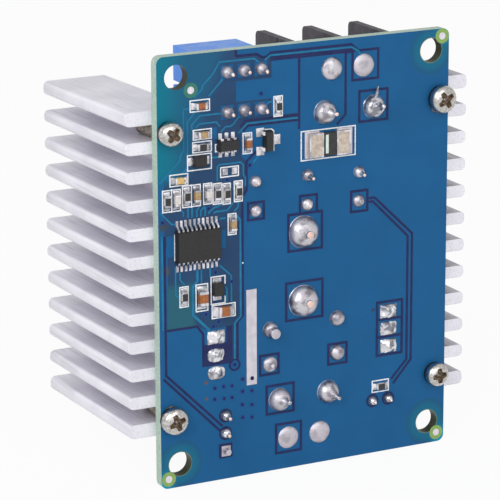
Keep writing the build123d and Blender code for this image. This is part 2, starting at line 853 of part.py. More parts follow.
with BuildPart() as chip_capacitors:
    for x, z, upright in chip_capacitor_places:
        with Locations((x, 0, z)):
            chip_box(chip_length - 2 * chip_end, chip_width, capacitor_height, upright)
    for x, z, upright in large_chip_places:
        with Locations((x, 0, z)):
            body_length = large_chip_length - 2 * large_chip_end
            chip_box(body_length, large_chip_width, large_chip_height, upright)
save(chip_capacitors, "chip_capacitors")

chip_kinds = (
    (chip_resistor_places, chip_length, chip_width, chip_end, resistor_height),
    (chip_capacitor_places, chip_length, chip_width, chip_end, capacitor_height),
    (large_chip_places, large_chip_length, large_chip_width, large_chip_end, large_chip_height),
)
with BuildPart() as chip_ends:
    for places, length, width, end, height in chip_kinds:
        for x, z, upright in places:
            for step in (-1, 1):
                offset = step * (length - end) / 2
                with Locations((x, 0, z + offset) if upright else (x + offset, 0, z)):
                    chip_box(end, width + 2 * chip_end_lap, height + chip_end_lap, upright)
save(chip_ends, "chip_ends")


# Packages with formed leads
def make_package_body(name, place, size):
    """A moulded body with drafted flanks, a little off the board."""
    with BuildPart() as body:
        with BuildSketch(Plane.XZ.offset(package_lift)):
            with Locations(place):
                Rectangle(*size)
        extrude(amount=package_body_height, taper=package_draft)
    save(body, name)


def lead_profile(reach, body_edge):
    """Side view of one formed lead: foot on the board and a slanted run into the body."""
    shoulder = package_lift + package_body_height / 2
    foot_end = reach - lead_foot
    Polyline(
        (reach, 0),
        (foot_end, 0),
        (body_edge, -shoulder),
        (body_edge, -shoulder - lead_sheet),
        (foot_end, -lead_sheet),
        (reach, -lead_sheet),
        close=True,
    )


def make_leads(name, place, size, span, width, flanks):
    """Formed leads; each flank gives the way out of the body in X and Z, and the lead offsets."""
    drafted = package_body_height / 2 * math.tan(math.radians(package_draft))
    with BuildPart() as leads:
        for direction, offsets in flanks:
            flank_depth = size[0] if direction[0] else size[1]
            outward = (direction[0], 0, direction[1])
            normal = Vector(*outward).cross(Vector(0, 1, 0))
            for offset in offsets:
                origin = (place[0] + direction[1] * offset, 0, place[1] + direction[0] * offset)
                with BuildSketch(Plane(origin, x_dir=outward, z_dir=normal)):
                    with BuildLine():
                        lead_profile(span / 2, flank_depth / 2 - drafted)
                    make_face()
                extrude(amount=width / 2, both=True)
    save(leads, name)


def spread(count, pitch):
    """Offsets of evenly spaced leads about the middle."""
    return [(step - (count - 1) / 2) * pitch for step in range(count)]


controller_offsets = spread(controller_leads, controller_pitch)
make_package_body("controller_body", controller_place, controller_body)
make_leads(
    "controller_leads",
    controller_place,
    controller_body,
    controller_span,
    controller_lead_width,
    (((0, -1), controller_offsets), ((0, 1), controller_offsets)),
)

driver_offsets = spread(driver_leads, driver_pitch)
make_package_body("driver_body", driver_place, driver_body)
make_leads(
    "driver_leads",
    driver_place,
    driver_body,
    driver_span,
    driver_lead_width,
    (((0, -1), driver_offsets), ((0, 1), driver_offsets)),
)

make_package_body("switch_body", switch_place, switch_body)
make_leads(
    "switch_leads",
    switch_place,
    switch_body,
    switch_span,
    switch_lead_width,
    (((-1, 0), spread(2, switch_pitch)), ((1, 0), spread(1, switch_pitch))),
)

# Diodes
with BuildPart() as diode_bodies:
    for x, z, upright in diode_places:
        with Locations((x, 0, z)):
            chip_box(diode_body[0], diode_body[1], diode_height, upright)
    chamfer(diode_bodies.faces().group_by(Axis.Y)[0].edges(), 0.12)
save(diode_bodies, "diode_bodies")

with BuildPart() as diode_tabs:
    for x, z, upright in diode_places:
        for step in (-1, 1):
            offset = step * (diode_body[0] + diode_tab[0]) / 2
            with Locations((x, 0, z + offset) if upright else (x + offset, 0, z)):
                chip_box(*diode_tab, upright)
save(diode_tabs, "diode_tabs")

# Current shunt
with BuildPart() as shunt_element:
    with Locations((shunt_place[0], 0, shunt_place[1])):
        chip_box(shunt_size[0] - 2 * shunt_terminal, shunt_size[1], shunt_height, False)
save(shunt_element, "shunt_element")

with BuildPart() as shunt_terminals:
    for step in (-1, 1):
        offset = step * (shunt_size[0] - shunt_terminal) / 2
        with Locations((shunt_place[0] + offset, 0, shunt_place[1])):
            lapped_width = shunt_size[1] + 2 * shunt_terminal_lap
            chip_box(shunt_terminal, lapped_width, shunt_height + shunt_terminal_lap, False)
save(shunt_terminals, "shunt_terminals")

# Solder joints round the leads
def make_joints(lead_size, joint_size, sides, places):
    """Cones of solder of one size, with the leads' ways through them."""
    joint_radius, joint_height = joint_size
    rise = joint_height * joint_rise
    run = (joint_radius - lead_size / 2) * joint_run
    with BuildPart() as joints:
        with BuildSketch(at_depth(0)):
            with Locations(*places):
                RegularPolygon(joint_radius, sides)
        extrude(amount=joint_height)
        for crown in joints.faces().filter_by(Plane.XZ).group_by(Axis.Y)[0]:
            chamfer(crown.edges(), run, rise, reference=crown)
        with BuildSketch(at_depth(0)):
            with Locations(*places):
                RegularPolygon(lead_size / 2, lead_sides, major_radius=False)
        extrude(amount=joint_height, mode=Mode.SUBTRACT)
    return joints.part


joint_groups = [
    make_joints(terminal_pin, terminal_joint, rod_sides, terminal_pin_places),
    make_joints(trimmer_pin, trimmer_joint, lead_sides, trimmer_pin_places),
    make_joints(can_lead, small_can_joint, lead_sides, small_lead_places),
    make_joints(can_lead, large_can_joint, lead_sides, large_lead_places),
    make_joints(wire_diameter, inductor_joint, rod_sides, inductor_lead_places),
    make_joints(header_pin_diagonal, header_joint, lead_sides, header_pin_places),
    make_joints(led_lead, led_joint, lead_sides, led_lead_places),
]
with BuildPart() as solder_joints:
    add(joint_groups)
save(solder_joints, "solder_joints")

# Pads filled or tinned with solder
with BuildPart() as solder_pads:
    with BuildSketch(at_depth(0)):
        with Locations(*filled_pad_places):
            RegularPolygon(filled_pad_radius, rod_sides)
    extrude(amount=filled_pad_height)
    for crown in solder_pads.faces().filter_by(Plane.XZ).group_by(Axis.Y)[0]:
        chamfer(crown.edges(), filled_pad_crown, filled_pad_height * joint_rise, reference=crown)
    with BuildSketch(at_depth(0)) as flat_pads:
        with Locations(*transistor_pin_places):
            Rectangle(*transistor_pad)
        chamfer(flat_pads.vertices(), transistor_pad[1] * 0.25)
    extrude(amount=transistor_pad_height)
    with BuildSketch(at_depth(0)):
        with Locations(strip_place):
            Rectangle(*strip_size)
    extrude(amount=strip_height)
save(solder_pads, "solder_pads")
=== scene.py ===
import math

import bmesh
import bpy
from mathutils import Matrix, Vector, noise


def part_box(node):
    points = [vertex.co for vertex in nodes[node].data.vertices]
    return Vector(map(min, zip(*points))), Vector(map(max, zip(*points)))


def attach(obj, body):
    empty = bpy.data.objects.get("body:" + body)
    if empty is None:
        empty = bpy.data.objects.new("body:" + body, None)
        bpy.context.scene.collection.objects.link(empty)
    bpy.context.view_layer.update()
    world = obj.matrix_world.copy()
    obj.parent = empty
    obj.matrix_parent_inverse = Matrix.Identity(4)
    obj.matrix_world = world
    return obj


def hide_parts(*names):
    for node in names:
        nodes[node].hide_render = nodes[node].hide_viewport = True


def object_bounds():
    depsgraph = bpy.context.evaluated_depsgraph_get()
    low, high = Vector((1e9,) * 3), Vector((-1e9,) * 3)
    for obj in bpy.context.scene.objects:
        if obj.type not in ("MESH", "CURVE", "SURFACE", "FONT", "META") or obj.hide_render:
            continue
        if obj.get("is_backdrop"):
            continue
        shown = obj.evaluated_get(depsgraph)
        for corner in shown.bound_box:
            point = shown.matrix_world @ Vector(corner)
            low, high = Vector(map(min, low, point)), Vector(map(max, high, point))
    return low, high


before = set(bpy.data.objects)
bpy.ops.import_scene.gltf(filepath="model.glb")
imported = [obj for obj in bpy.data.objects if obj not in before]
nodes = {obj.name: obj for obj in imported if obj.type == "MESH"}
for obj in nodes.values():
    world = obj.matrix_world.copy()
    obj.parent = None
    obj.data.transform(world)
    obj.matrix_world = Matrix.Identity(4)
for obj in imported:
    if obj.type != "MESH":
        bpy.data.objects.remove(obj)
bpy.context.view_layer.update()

# The part is drawn in millimetres and the scene is in metres
MM = 0.001

# Board: half its width and height, its middle, and the middle of a mounting hole in one quarter
HALF_X, HALF_Z, MIDDLE_Z, THICKNESS = 22.3, 30.0, -0.2, 1.6
HOLE_X, HOLE_Z = 19.45, 26.9

# Each flat piece of a shape lies this much further forward than the one before it
LAYER_STEP = 0.0002


# Materials
def colour(text):
    """Linear colour of an sRGB hex value."""
    parts = [int(text[n : n + 2], 16) / 255 for n in (0, 2, 4)]
    return tuple(v / 12.92 if v <= 0.04045 else ((v + 0.055) / 1.055) ** 2.4 for v in parts) + (1,)


class Look:
    """A procedural material with its node tree, written with short helpers."""

    def __init__(self, name, **settings):
        self.material = bpy.data.materials.new(name)
        self.material.use_nodes = True
        self.tree = self.material.node_tree
        self.shader = self.tree.nodes["Principled BSDF"]
        self.place = self.node("ShaderNodeTexCoord").outputs["Object"]
        for key, value in settings.items():
            self.set(key, value)

    def node(self, kind, **settings):
        made = self.tree.nodes.new(kind)
        for key, value in settings.items():
            setattr(made, key, value)
        return made

    def join(self, target, value):
        if isinstance(value, bpy.types.NodeSocket):
            self.tree.links.new(value, target)
        else:
            target.default_value = value

    def set(self, key, value):
        self.join(self.shader.inputs[key.replace("_", " ")], value)

    def math(self, operation, *values):
        made = self.node("ShaderNodeMath", operation=operation)
        for target, value in zip(made.inputs, values):
            self.join(target, value)
        return made.outputs[0]

    def times(self, first, second):
        return self.math("MULTIPLY", first, second)

    def minus(self, first, second):
        return self.math("SUBTRACT", first, second)

    def length(self, first, second):
        squares = self.math("ADD", self.times(first, first), self.times(second, second))
        return self.math("SQRT", squares)

    def noise(self, size, detail=3.0, stretch=(1, 1, 1), rough=0.5, shift=0.0):
        """Noise whose features are about size millimetres across."""
        mapping = self.node("ShaderNodeMapping")
        self.join(mapping.inputs["Vector"], self.place)
        mapping.inputs["Scale"].default_value = stretch
        mapping.inputs["Location"].default_value = (shift, shift * 0.7, shift * 1.3)
        made = self.node("ShaderNodeTexNoise")
        for key, number in (("Scale", 1 / (size * MM)), ("Detail", detail), ("Roughness", rough)):
            made.inputs[key].default_value = number
        self.join(made.inputs["Vector"], mapping.outputs[0])
        return made.outputs["Fac"]

    def span(self, value, low, high, to_low=0.0, to_high=1.0):
        """Maps low..high of a value smoothly onto to_low..to_high, clamped."""
        made = self.node("ShaderNodeMapRange", interpolation_type="SMOOTHSTEP")
        self.join(made.inputs["Value"], value)
        for target, number in zip(list(made.inputs)[1:5], (low, high, to_low, to_high)):
            target.default_value = number
        return made.outputs["Result"]

    def mix(self, factor, first, second):
        made = self.node("ShaderNodeMix", data_type="RGBA")
        self.join(made.inputs["Factor"], factor)
        for socket, value in ((made.inputs[6], first), (made.inputs[7], second)):
            self.join(socket, colour(value) if isinstance(value, str) else value)
        return made.outputs[2]

    def parts(self, vector):
        split = self.node("ShaderNodeSeparateXYZ")
        self.join(split.inputs[0], vector)
        return split.outputs

    def axes(self):
        """Place in millimetres along X, Y and Z."""
        return [self.times(part, 1 / MM) for part in self.parts(self.place)]

    def facing(self):
        """The three parts of the surface's normal."""
        return self.parts(self.node("ShaderNodeNewGeometry").outputs["Normal"])

    def bump(self, height, depth, edge=0.0):
        """Raises the surface by height times depth millimetres, with edges rounded over edge."""
        made = self.node("ShaderNodeBump")
        made.inputs["Strength"].default_value = 1.0
        made.inputs["Distance"].default_value = depth * MM
        self.join(made.inputs["Height"], height)
        if edge:
            rounded = self.node("ShaderNodeBevel", samples=4)
            rounded.inputs["Radius"].default_value = edge * MM
            self.join(made.inputs["Normal"], rounded.outputs[0])
        self.set("Normal", made.outputs[0])


def plain(name, base, other, size, roughness, depth=0.01, edge=0.0, fine=0.15, **settings):
    """A material of two close tones, with uneven gloss and a fine grain."""
    look = Look(name, **settings)
    tone = look.span(look.noise(size), 0.35, 0.65)
    look.set("Base_Color", look.mix(tone, base, other))
    look.set("Roughness", look.span(look.noise(size * 0.6, shift=3.0), 0.3, 0.7, *roughness))
    look.bump(look.noise(fine), depth, edge=edge)
    return look.material


def mask_look(name, base, other):
    """Blue solder mask over copper or laminate, with painted light through the laminate that turns
    it teal toward the upper left corner.
    """
    look = Look(name, IOR=1.45, Specular_IOR_Level=0.16)
    x, y, z = look.axes()
    tone = look.mix(look.span(look.noise(7.0, detail=4), 0.3, 0.7), base, other)
    # Round lands of the mounting holes, a pale ring at each hole, and corners outside them
    # brightened by painted light shining through the laminate
    across = look.minus(look.math("ABSOLUTE", x), HOLE_X)
    along = look.minus(look.math("ABSOLUTE", z), HOLE_Z)
    reach = look.length(across, along)
    shade = look.mix(look.span(reach, 2.2, 3.3), "1a6680", "1e5578")
    tone = look.mix(look.span(reach, 3.3, 3.5, 0.8, 0.0), tone, shade)
    ring = look.times(look.span(reach, 1.62, 1.68), look.span(reach, 1.74, 1.84, 0.7, 0.0))
    tone = look.mix(ring, tone, "7d8750")
    corner = look.times(look.span(across, 0.2, 2.2), look.span(along, 0.2, 2.2, 0.0, 0.95))
    tone = look.mix(corner, tone, "0a8fae")
    # Teal band of painted light shining through the laminate down the left edge, from the top to
    # the row of chips
    sheared = look.minus(x, look.times(look.minus(z, 20.0), 0.35))
    band = look.times(look.span(sheared, -17.7, -14.2, 1.0, 0.0), look.span(z, 11.5, 14.5))
    tone = look.mix(band, tone, look.mix(look.span(x, -HALF_X, -17.0), "096f85", "20587a"))
    if name == "bare_mask":
        # Greenish patch low on the left edge: painted light from behind shining through the bare
        # laminate
        lower = look.times(look.span(z, -0.8, -2.4), look.span(x, -17.6, -16.4, 0.85, 0.0))
        tone = look.mix(look.times(lower, look.span(z, -7.9, -7.5)), tone, "28606e")
    # Brown flux left by the soldering
    ragged = look.span(look.noise(0.5), 0, 1, -0.3, 0.3)
    for px, pz, radius, shade, share in (
        (-21.6, 6.9, 0.8, "3c4446", 0.8),
        (-21.4, 0.7, 0.8, "55504a", 0.8),
        (-15.35, -15.9, 0.32, "6b4a30", 0.85),
        (-15.35, -18.2, 0.3, "6b5030", 0.8),
        (10.6, -9.2, 0.35, "2d3140", 0.7),
    ):
        away = look.math("ADD", look.length(look.minus(x, px), look.minus(z, pz)), ragged)
        tone = look.mix(look.span(away, radius * 0.4, radius * 1.2, share, 0.0), tone, shade)
    if name == "board_mask":
        # Laminate at the board's edges, and darker inside its holes
        side = look.span(look.math("ABSOLUTE", look.facing()[1]), 0.3, 0.6, 1.0, 0.0)
        weave = look.span(look.noise(0.35, stretch=(1, 6, 1)), 0.3, 0.7)
        outside = look.math(
            "MAXIMUM",
            look.span(look.math("ABSOLUTE", x), HALF_X - 0.3, HALF_X - 0.2),
            look.span(look.math("ABSOLUTE", look.minus(z, MIDDLE_Z)), HALF_Z - 0.4, HALF_Z - 0.3),
        )
        rim = look.mix(weave, "93ab9c", "c3d6c8")
        laminate = look.mix(outside, look.mix(weave, "20281c", "343b22"), rim)
        tone = look.mix(side, tone, laminate)
    look.set("Base_Color", tone)
    look.set("Roughness", look.span(look.noise(2.0), 0.3, 0.7, 0.34, 0.46))
    look.bump(look.noise(0.5, detail=5), 0.008)
    return look.material


def solder_look(name, light, mid, dark, roughness, depth, specks):
    """Solder with a frosted skin, soft clouds of grey and a few burnt pits."""
    look = Look(name, Metallic=0.8, Specular_IOR_Level=0.5)
    cloud = look.noise(1.3, detail=2)
    grain = look.noise(0.22, detail=5, rough=0.65, shift=4.0)
    tone = look.mix(look.span(cloud, 0.38, 0.6), mid, light)
    tone = look.mix(look.span(grain, 0.55, 0.75, 0.0, 0.35), tone, mid)
    pits = look.span(look.noise(0.4, detail=4, rough=0.7, shift=5.0), specks, specks + 0.05)
    look.set("Base_Color", look.mix(pits, tone, dark))
    look.set("Roughness", look.span(cloud, 0.3, 0.7, *roughness))
    look.bump(look.minus(look.noise(0.4, detail=3), look.times(pits, 0.6)), depth)
    return look.material


def extruded_look(name):
    """Satin aluminium with die lines along Y and a cloudy lavender tint."""
    look = Look(name, Metallic=0.45, Specular_IOR_Level=0.4)
    lines = look.noise(0.35, detail=4, stretch=(1, 0.02, 1))
    tone = look.mix(look.span(look.noise(6.0, detail=3), 0.35, 0.65), "e0dee7", "eae8f0")
    tone = look.mix(look.span(lines, 0.52, 0.72, 0.0, 0.45), tone, "bdbbc4")
    specks = look.span(look.noise(0.7, detail=5, rough=0.7, shift=2.0), 0.66, 0.74, 0.0, 0.45)
    tone = look.mix(specks, tone, "8f8d94")
    # Painted shade on the upper faces of the right-hand fins, just behind the board's edge, where
    # the board shades them
    x, y = look.axes()[:2]
    upper = look.times(look.span(look.facing()[2], 0.5, 0.8), look.span(x, 18.0, 21.0))
    close = look.times(upper, look.span(y, 7.5, 13.0, 1.0, 0.0))
    painted_fin_shade = look.times(close, look.span(x, 21.5, 26.2, 0.85, 0.35))
    look.set("Base_Color", look.mix(painted_fin_shade, tone, "47454c"))
    look.set("Roughness", look.span(lines, 0.3, 0.7, 0.34, 0.5))
    look.bump(lines, 0.02, edge=0.12)
    return look.material


def resistor_look():
    """Black cover on a white ceramic body."""
    look = Look("resistor_body", IOR=1.5)
    top = look.span(look.facing()[1], -0.7, -0.5, 1.0, 0.0)
    grain = look.span(look.noise(0.2), 0.3, 0.7)
    ceramic = look.mix(grain, "e4e1da", "cfcbc4")
    look.set("Base_Color", look.mix(top, ceramic, look.mix(grain, "1b1b1d", "2b2a2c")))
    look.set("Roughness", look.span(look.noise(0.3), 0.3, 0.7, 0.3, 0.5))
    look.bump(look.noise(0.1), 0.01, edge=0.05)
    return look.material


def banded_look(name, base, other, size, stretch, roughness, depth, **settings):
    """Two tones drawn out along one direction, as on brushed or turned metal."""
    look = Look(name, **settings)
    lines = look.noise(size, detail=4, stretch=stretch)
    look.set("Base_Color", look.mix(look.span(lines, 0.35, 0.65), base, other))
    look.set("Roughness", look.span(lines, 0.3, 0.7, *roughness))
    look.bump(lines, depth)
    return look.material


board_mask = mask_look("board_mask", "195a8b", "185685")
bare_mask = mask_look("bare_mask", "264162", "28466a")
pour_mask = mask_look("pour_mask", "1a5c8d", "185889")
gap_mask = plain("gap_mask", "262e59", "212852", 1.5, (0.36, 0.46), Specular_IOR_Level=0.14)
trace_mask = plain("trace_mask", "1d749b", "1a6a90", 1.2, (0.32, 0.44), Specular_IOR_Level=0.2)
via_dark = plain("via_dark", "151a3c", "1c2348", 0.3, (0.4, 0.55), Specular_IOR_Level=0.15)
via_ring = plain("via_ring", "24437f", "214a86", 0.4, (0.35, 0.48), Specular_IOR_Level=0.15)
silk = plain("silk", "eef0f2", "d5d9df", 0.25, (0.6, 0.75), depth=0.015)
solder = solder_look("solder", "cbc8ce", "8d8890", "453f3c", (0.24, 0.4), 0.03, 0.7)
bright_solder = solder_look("bright_solder", "e2e1e5", "85868e", "2e2c30", (0.08, 0.2), 0.03, 0.68)
flat_solder = solder_look("flat_solder", "c2bdc5", "a9a3ab", "7a7370", (0.36, 0.5), 0.02, 0.74)
dull_solder = solder_look("dull_solder", "bcb8c0", "8c8790", "4a4543", (0.28, 0.42), 0.03, 0.64)
tin = solder_look("tin", "e0dee3", "a8a6ac", "5c5856", (0.2, 0.38), 0.02, 0.63)
pale_tin = plain("pale_tin", "d2ced6", "c3bfc8", 1.6, (0.38, 0.5), Metallic=0.55)
stripe_ink = plain("stripe_ink", "d3e0d8", "c6d6cd", 0.8, (0.5, 0.6))
copper_tip = plain("copper_tip", "e2bdb0", "ecd2c8", 0.3, (0.25, 0.4), depth=0.02, Metallic=0.8)
aluminium = extruded_look("aluminium")
steel = banded_look("steel", "cfcdca", "a9a5a0", 0.3, (1, 0.3, 1), (0.2, 0.36), 0.008, Metallic=1.0)
recess_brown = plain("recess_brown", "a08c78", "5a4a3a", 0.35, (0.35, 0.55), Metallic=0.35)
thread_steel = plain("thread_steel", "a39a90", "70675e", 0.3, (0.35, 0.5), Metallic=0.5)
# Dark ring under each raised screw head: painted shadow of the head and its underside
painted_shadow_washer = plain("painted_shadow_washer", "2a2b30", "1e1f24", 0.6, (0.4, 0.55), Metallic=0.4)
ring_green = plain("ring_green", "2a7262", "1f6a5a", 0.3, (0.35, 0.5), IOR=1.5)
ring_lime = plain("ring_lime", "86a557", "7a9a4e", 0.3, (0.35, 0.5), IOR=1.5)
disc_tin = plain("disc_tin", "e2dde6", "d2ccd8", 0.4, (0.3, 0.42), Metallic=0.5)
chip_tones = [
    plain(f"chip_{tone}", base, other, 0.3, (0.3, 0.45), depth=0.015, edge=0.06)
    for tone, base, other in (
        ("rust", "a5622f", "8d4f26"),
        ("tan", "b0936a", "9c8059"),
        ("sand", "d9b878", "c9a565"),
        ("pale", "dcd6d2", "cbc4c0"),
    )
]
resistor = resistor_look()
epoxy = plain("epoxy", "201e1f", "181617", 0.25, (0.5, 0.65), depth=0.02, edge=0.08, fine=0.08)
trimmer_blue = plain("trimmer_blue", "4f93ec", "4589e6", 3.0, (0.32, 0.45), edge=0.12)
terminal_plastic = plain(
    "terminal_plastic", "3d3942", "35313a", 2.0, (0.5, 0.62), depth=0.012, edge=0.15
)
brass = banded_look("brass", "d8b566", "b8924a", 0.2, (1, 0.2, 1), (0.25, 0.4), 0.02, Metallic=1.0)
nickel = banded_look(
    "nickel", "d6d6d8", "b4b4b8", 0.3, (1, 0.3, 1), (0.22, 0.36), 0.006, Metallic=1.0
)
pad_grey = plain("pad_grey", "b7bac0", "a6a9b0", 0.4, (0.6, 0.75), depth=0.02)
nylon = plain("nylon", "ece8de", "dfdacd", 0.6, (0.45, 0.55), edge=0.1, Subsurface_Weight=0.1)
sleeve = plain("sleeve", "17181c", "22242a", 2.0, (0.2, 0.32), IOR=1.5)
sleeve_band = plain("sleeve_band", "b9bcc4", "a9acb5", 1.2, (0.25, 0.36), IOR=1.5)
can_top = banded_look(
    "can_top", "d9dadd", "bfc0c5", 0.25, (1, 1, 0.1), (0.26, 0.4), 0.004, Metallic=1.0
)
core_paint = plain("core_paint", "d9b93a", "cda92c", 1.2, (0.35, 0.5), depth=0.05, IOR=1.5)
enamel_finish = {"Metallic": 0.85, "Coat_Weight": 0.6}
enamel = banded_look(
    "enamel", "b8642c", "a5521f", 0.3, (0.2, 0.2, 1), (0.16, 0.28), 0.01, **enamel_finish
)
header_plastic = plain(
    "header_plastic", "1c1c1e", "27272a", 0.6, (0.4, 0.55), depth=0.015, edge=0.1
)
lens = plain(
    "lens", "c8261f", "b81f1a", 1.0, (0.08, 0.16), depth=0.004, Transmission_Weight=0.55, IOR=1.5
)
shunt_body = plain("shunt_body", "1f1e20", "2c2b2d", 0.4, (0.4, 0.55), depth=0.02, edge=0.08)
shunt_face = plain("shunt_face", "c9bdb0", "b3a496", 0.5, (0.35, 0.5), depth=0.03, Metallic=0.5)

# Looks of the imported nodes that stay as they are
for look, names in (
    (board_mask, "circuit_board"),
    (trimmer_blue, "trimmer_upper_body trimmer_lower_body"),
    (brass, "trimmer_upper_adjuster trimmer_lower_adjuster header_pins"),
    (tin, "trimmer_upper_pins trimmer_lower_pins terminal_top_contacts"),
    (tin, "terminal_bottom_contacts transistor_left_leadframe transistor_right_leadframe"),
    (tin, "capacitor_leads led_leads diode_tabs"),
    (terminal_plastic, "terminal_top_block terminal_bottom_block"),
    (nickel, "terminal_top_clamps terminal_bottom_clamps terminal_top_screws"),
    (nickel, "terminal_bottom_screws"),
    (pad_grey, "transistor_left_pad transistor_right_pad"),
    (epoxy, "transistor_left_package transistor_right_package controller_body driver_body"),
    (epoxy, "switch_body diode_bodies"),
    (nylon, "transistor_left_bushing transistor_right_bushing"),
    (steel, "transistor_left_screw transistor_right_screw"),
    (header_plastic, "header_body"),
    (lens, "led_lens"),
    (resistor, "chip_resistors"),
    (shunt_body, "shunt_element"),
    (shunt_face, "shunt_terminals"),
    (core_paint, "inductor_core"),
):
    for node_name in names.split():
        mesh = nodes[node_name].data
        if not mesh.materials:
            mesh.materials.append(look)
        for index in range(len(mesh.materials)):
            mesh.materials[index] = look


# Mesh building
def round_points(count):
    """Cosine and sine of evenly spaced angles round a circle."""
    angles = [2 * math.pi * k / count for k in range(count)]
    return [(math.cos(angle), math.sin(angle)) for angle in angles]


class Shape:
    """Points in millimetres and faces, each face with the number of its material."""

    def __init__(self):
        self.points = []
        self.faces = []
        self.kinds = []
        self.layers = 0

    def add(self, points, faces, kind=0):
        """Adds faces, with one kind for all of them or a list with a kind for each."""
        start = len(self.points)
        self.points += [tuple(p) for p in points]
        self.faces += [[start + i for i in face] for face in faces]
        self.kinds += kind if isinstance(kind, list) else [kind] * len(faces)

    def plate(self, first, second, kind=0):
        """A closed solid between two outlines with as many points."""
        count = len(first)
        faces = [list(range(count)), list(range(2 * count - 1, count - 1, -1))]
        faces += [[i, (i + 1) % count, count + (i + 1) % count, count + i] for i in range(count)]
        self.add(first + second, faces, kind)

    def prism(self, outline, front, back, kind=0):
        """A flat plate between two depths, each a trace further forward than the one before."""
        self.layers += 1
        front -= LAYER_STEP * self.layers
        self.plate([(x, front, z) for x, z in outline], [(x, back, z) for x, z in outline], kind)

    def slab(self, x0, x1, z0, z1, front, back, kind=0):
        self.prism([(x0, z0), (x1, z0), (x1, z1), (x0, z1)], front, back, kind)

    def ribbon(self, path, width, front, back, kind=0, closed=False):
        """A band of even width along a path in X and Z, with mitred bends."""
        count = len(path)
        sides = []
        for i, (x, z) in enumerate(path):
            before = path[i - 1] if i or closed else None
            after = path[(i + 1) % count] if i < count - 1 or closed else None
            ways = []
            if before:
                ways.append(Vector((x - before[0], z - before[1])).normalized())
            if after:
                ways.append(Vector((after[0] - x, after[1] - z)).normalized())
            way = sum(ways, Vector((0, 0))).normalized()
            across = Vector((-way.y, way.x))
            stretch = 1 / max(0.5, abs(across.dot(Vector((-ways[0].y, ways[0].x)))))
            reach = width / 2 * stretch
            dx, dz = [part * reach for part in across]
            sides.append(((x + dx, z + dz), (x - dx, z - dz)))
        for i in range(count if closed else count - 1):
            a, b = sides[i], sides[(i + 1) % count]
            self.prism([a[0], b[0], b[1], a[1]], front, back, kind)

    def frame_box(self, x0, x1, z0, z1, width, front, back, kind=0):
        corners = [(x0, z0), (x1, z0), (x1, z1), (x0, z1)]
        self.ribbon(corners, width, front, back, kind, closed=True)

    def loft(self, rings, kinds=0):
        """Joins rings with as many points, from the first to the last, and closes both ends."""
        sides = len(rings[0])
        faces = []
        for row in range(len(rings) - 1):
            for k in range(sides):
                a, b = row * sides + k, row * sides + (k + 1) % sides
                faces.append([a, b, b + sides, a + sides])
        last = (len(rings) - 1) * sides
        faces += [list(range(sides)), list(range(last, last + sides))]
        if isinstance(kinds, list):
            kinds = [kind for kind in kinds for k in range(sides)] + [kinds[0], kinds[-1]]
        self.add([p for ring in rings for p in ring], faces, kinds)

    def lathe(self, centre, way, profile, sides, kinds=0, wobble=0.0, seed=0.0, lean=(0, 0)):
        """Turns a profile of radius and height about Y; way is -1 to the solder side."""
        cx, cy, cz = centre
        top = profile[-1][1] or 1
        rings = []
        for radius, height in profile:
            ring = []
            for along, across in round_points(sides):
                reach = radius
                if wobble and radius:
                    at = (along * 1.3 + seed, height * 0.8 + seed * 0.3, across * 1.3)
                    reach *= 1 + wobble * noise.noise(Vector(at))
                shift = height / top
                x = cx + along * reach + lean[0] * shift
                ring.append((x, cy + way * height, cz + across * reach + lean[1] * shift))
            rings.append(ring)
        self.loft(rings, kinds)

    def cover(self, top, columns, base, kind=0):
        """A grid of points, closed by a skirt and a floor at the depth of its base."""
        stride, rows = columns + 1, len(top) // (columns + 1) - 1
        total = len(top)
        faces = []
        for a in (r * stride + c for r in range(rows) for c in range(columns)):
            faces.append([a, a + 1, a + stride + 1, a + stride])
        rim = list(range(stride)) + [r * stride + columns for r in range(1, rows + 1)]
        rim += [rows * stride + c for c in range(columns - 1, -1, -1)]
        rim += [r * stride for r in range(rows - 1, 0, -1)]
        for a, b in zip(rim, rim[1:] + rim[:1]):
            faces.append([a, b, total + b, total + a])
        faces.append([total + a for a in rim])
        self.add(top + [(x, base, z) for x, y, z in top], faces, kind)

    def block(self, centre, size, bevel, kind=0):
        """A box with rounded edges."""
        made = bmesh.new()
        bmesh.ops.create_cube(made, size=1.0)
        bmesh.ops.scale(made, vec=size, verts=made.verts)
        edges = list(made.edges)
        bmesh.ops.bevel(made, geom=edges, offset=bevel, segments=2, profile=0.7, affect="EDGES")
        bmesh.ops.translate(made, vec=centre, verts=made.verts)
        made.verts.index_update()
        faces = [[v.index for v in face.verts] for face in made.faces]
        self.add([v.co[:] for v in made.verts], faces, kind)
        made.free()

    def tube(self, path, radius, sides):
        """A round wire along a path of points."""
        across = None
        rings, circle = [], round_points(sides)
        for i, point in enumerate(path):
            way = (path[min(i + 1, len(path) - 1)] - path[max(i - 1, 0)]).normalized()
            if across is None:
                across = way.orthogonal().normalized()
            across = (across - way * across.dot(way)).normalized()
            other = way.cross(across)
            rings.append([point + (across * a + other * b) * radius for a, b in circle])
        self.loft(rings)

    def build(self, name, looks, slot, replaces=(), smooth=35, body="module"):
        """Makes the Blender object; with a slot, hangs it on its body's empty and hides the nodes
        it replaces.
        """
        mesh = bpy.data.meshes.new(name)
        mesh.from_pydata([(x * MM, y * MM, z * MM) for x, y, z in self.points], [], self.faces)
        for look in looks:
            mesh.materials.append(look)
        for face, kind in zip(mesh.polygons, self.kinds):
            face.material_index = kind
        tidy = bmesh.new()
        tidy.from_mesh(mesh)
        bmesh.ops.recalc_face_normals(tidy, faces=tidy.faces)
        tidy.to_mesh(mesh)
        tidy.free()
        if smooth:
            mesh.shade_smooth()
            mesh.set_sharp_from_angle(angle=math.radians(smooth))
        made = bpy.data.objects.new(name, mesh)
        bpy.context.scene.collection.objects.link(made)
        if slot:
            dress(made, replaces, body)
        return made


def dress(made, replaces=(), body="module"):
    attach(made, body)
    for node_name in replaces:
        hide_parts(node_name)


def disc(x, z, radius, sides=20):
    return [(x + radius * a, z + radius * b) for a, b in round_points(sides)]


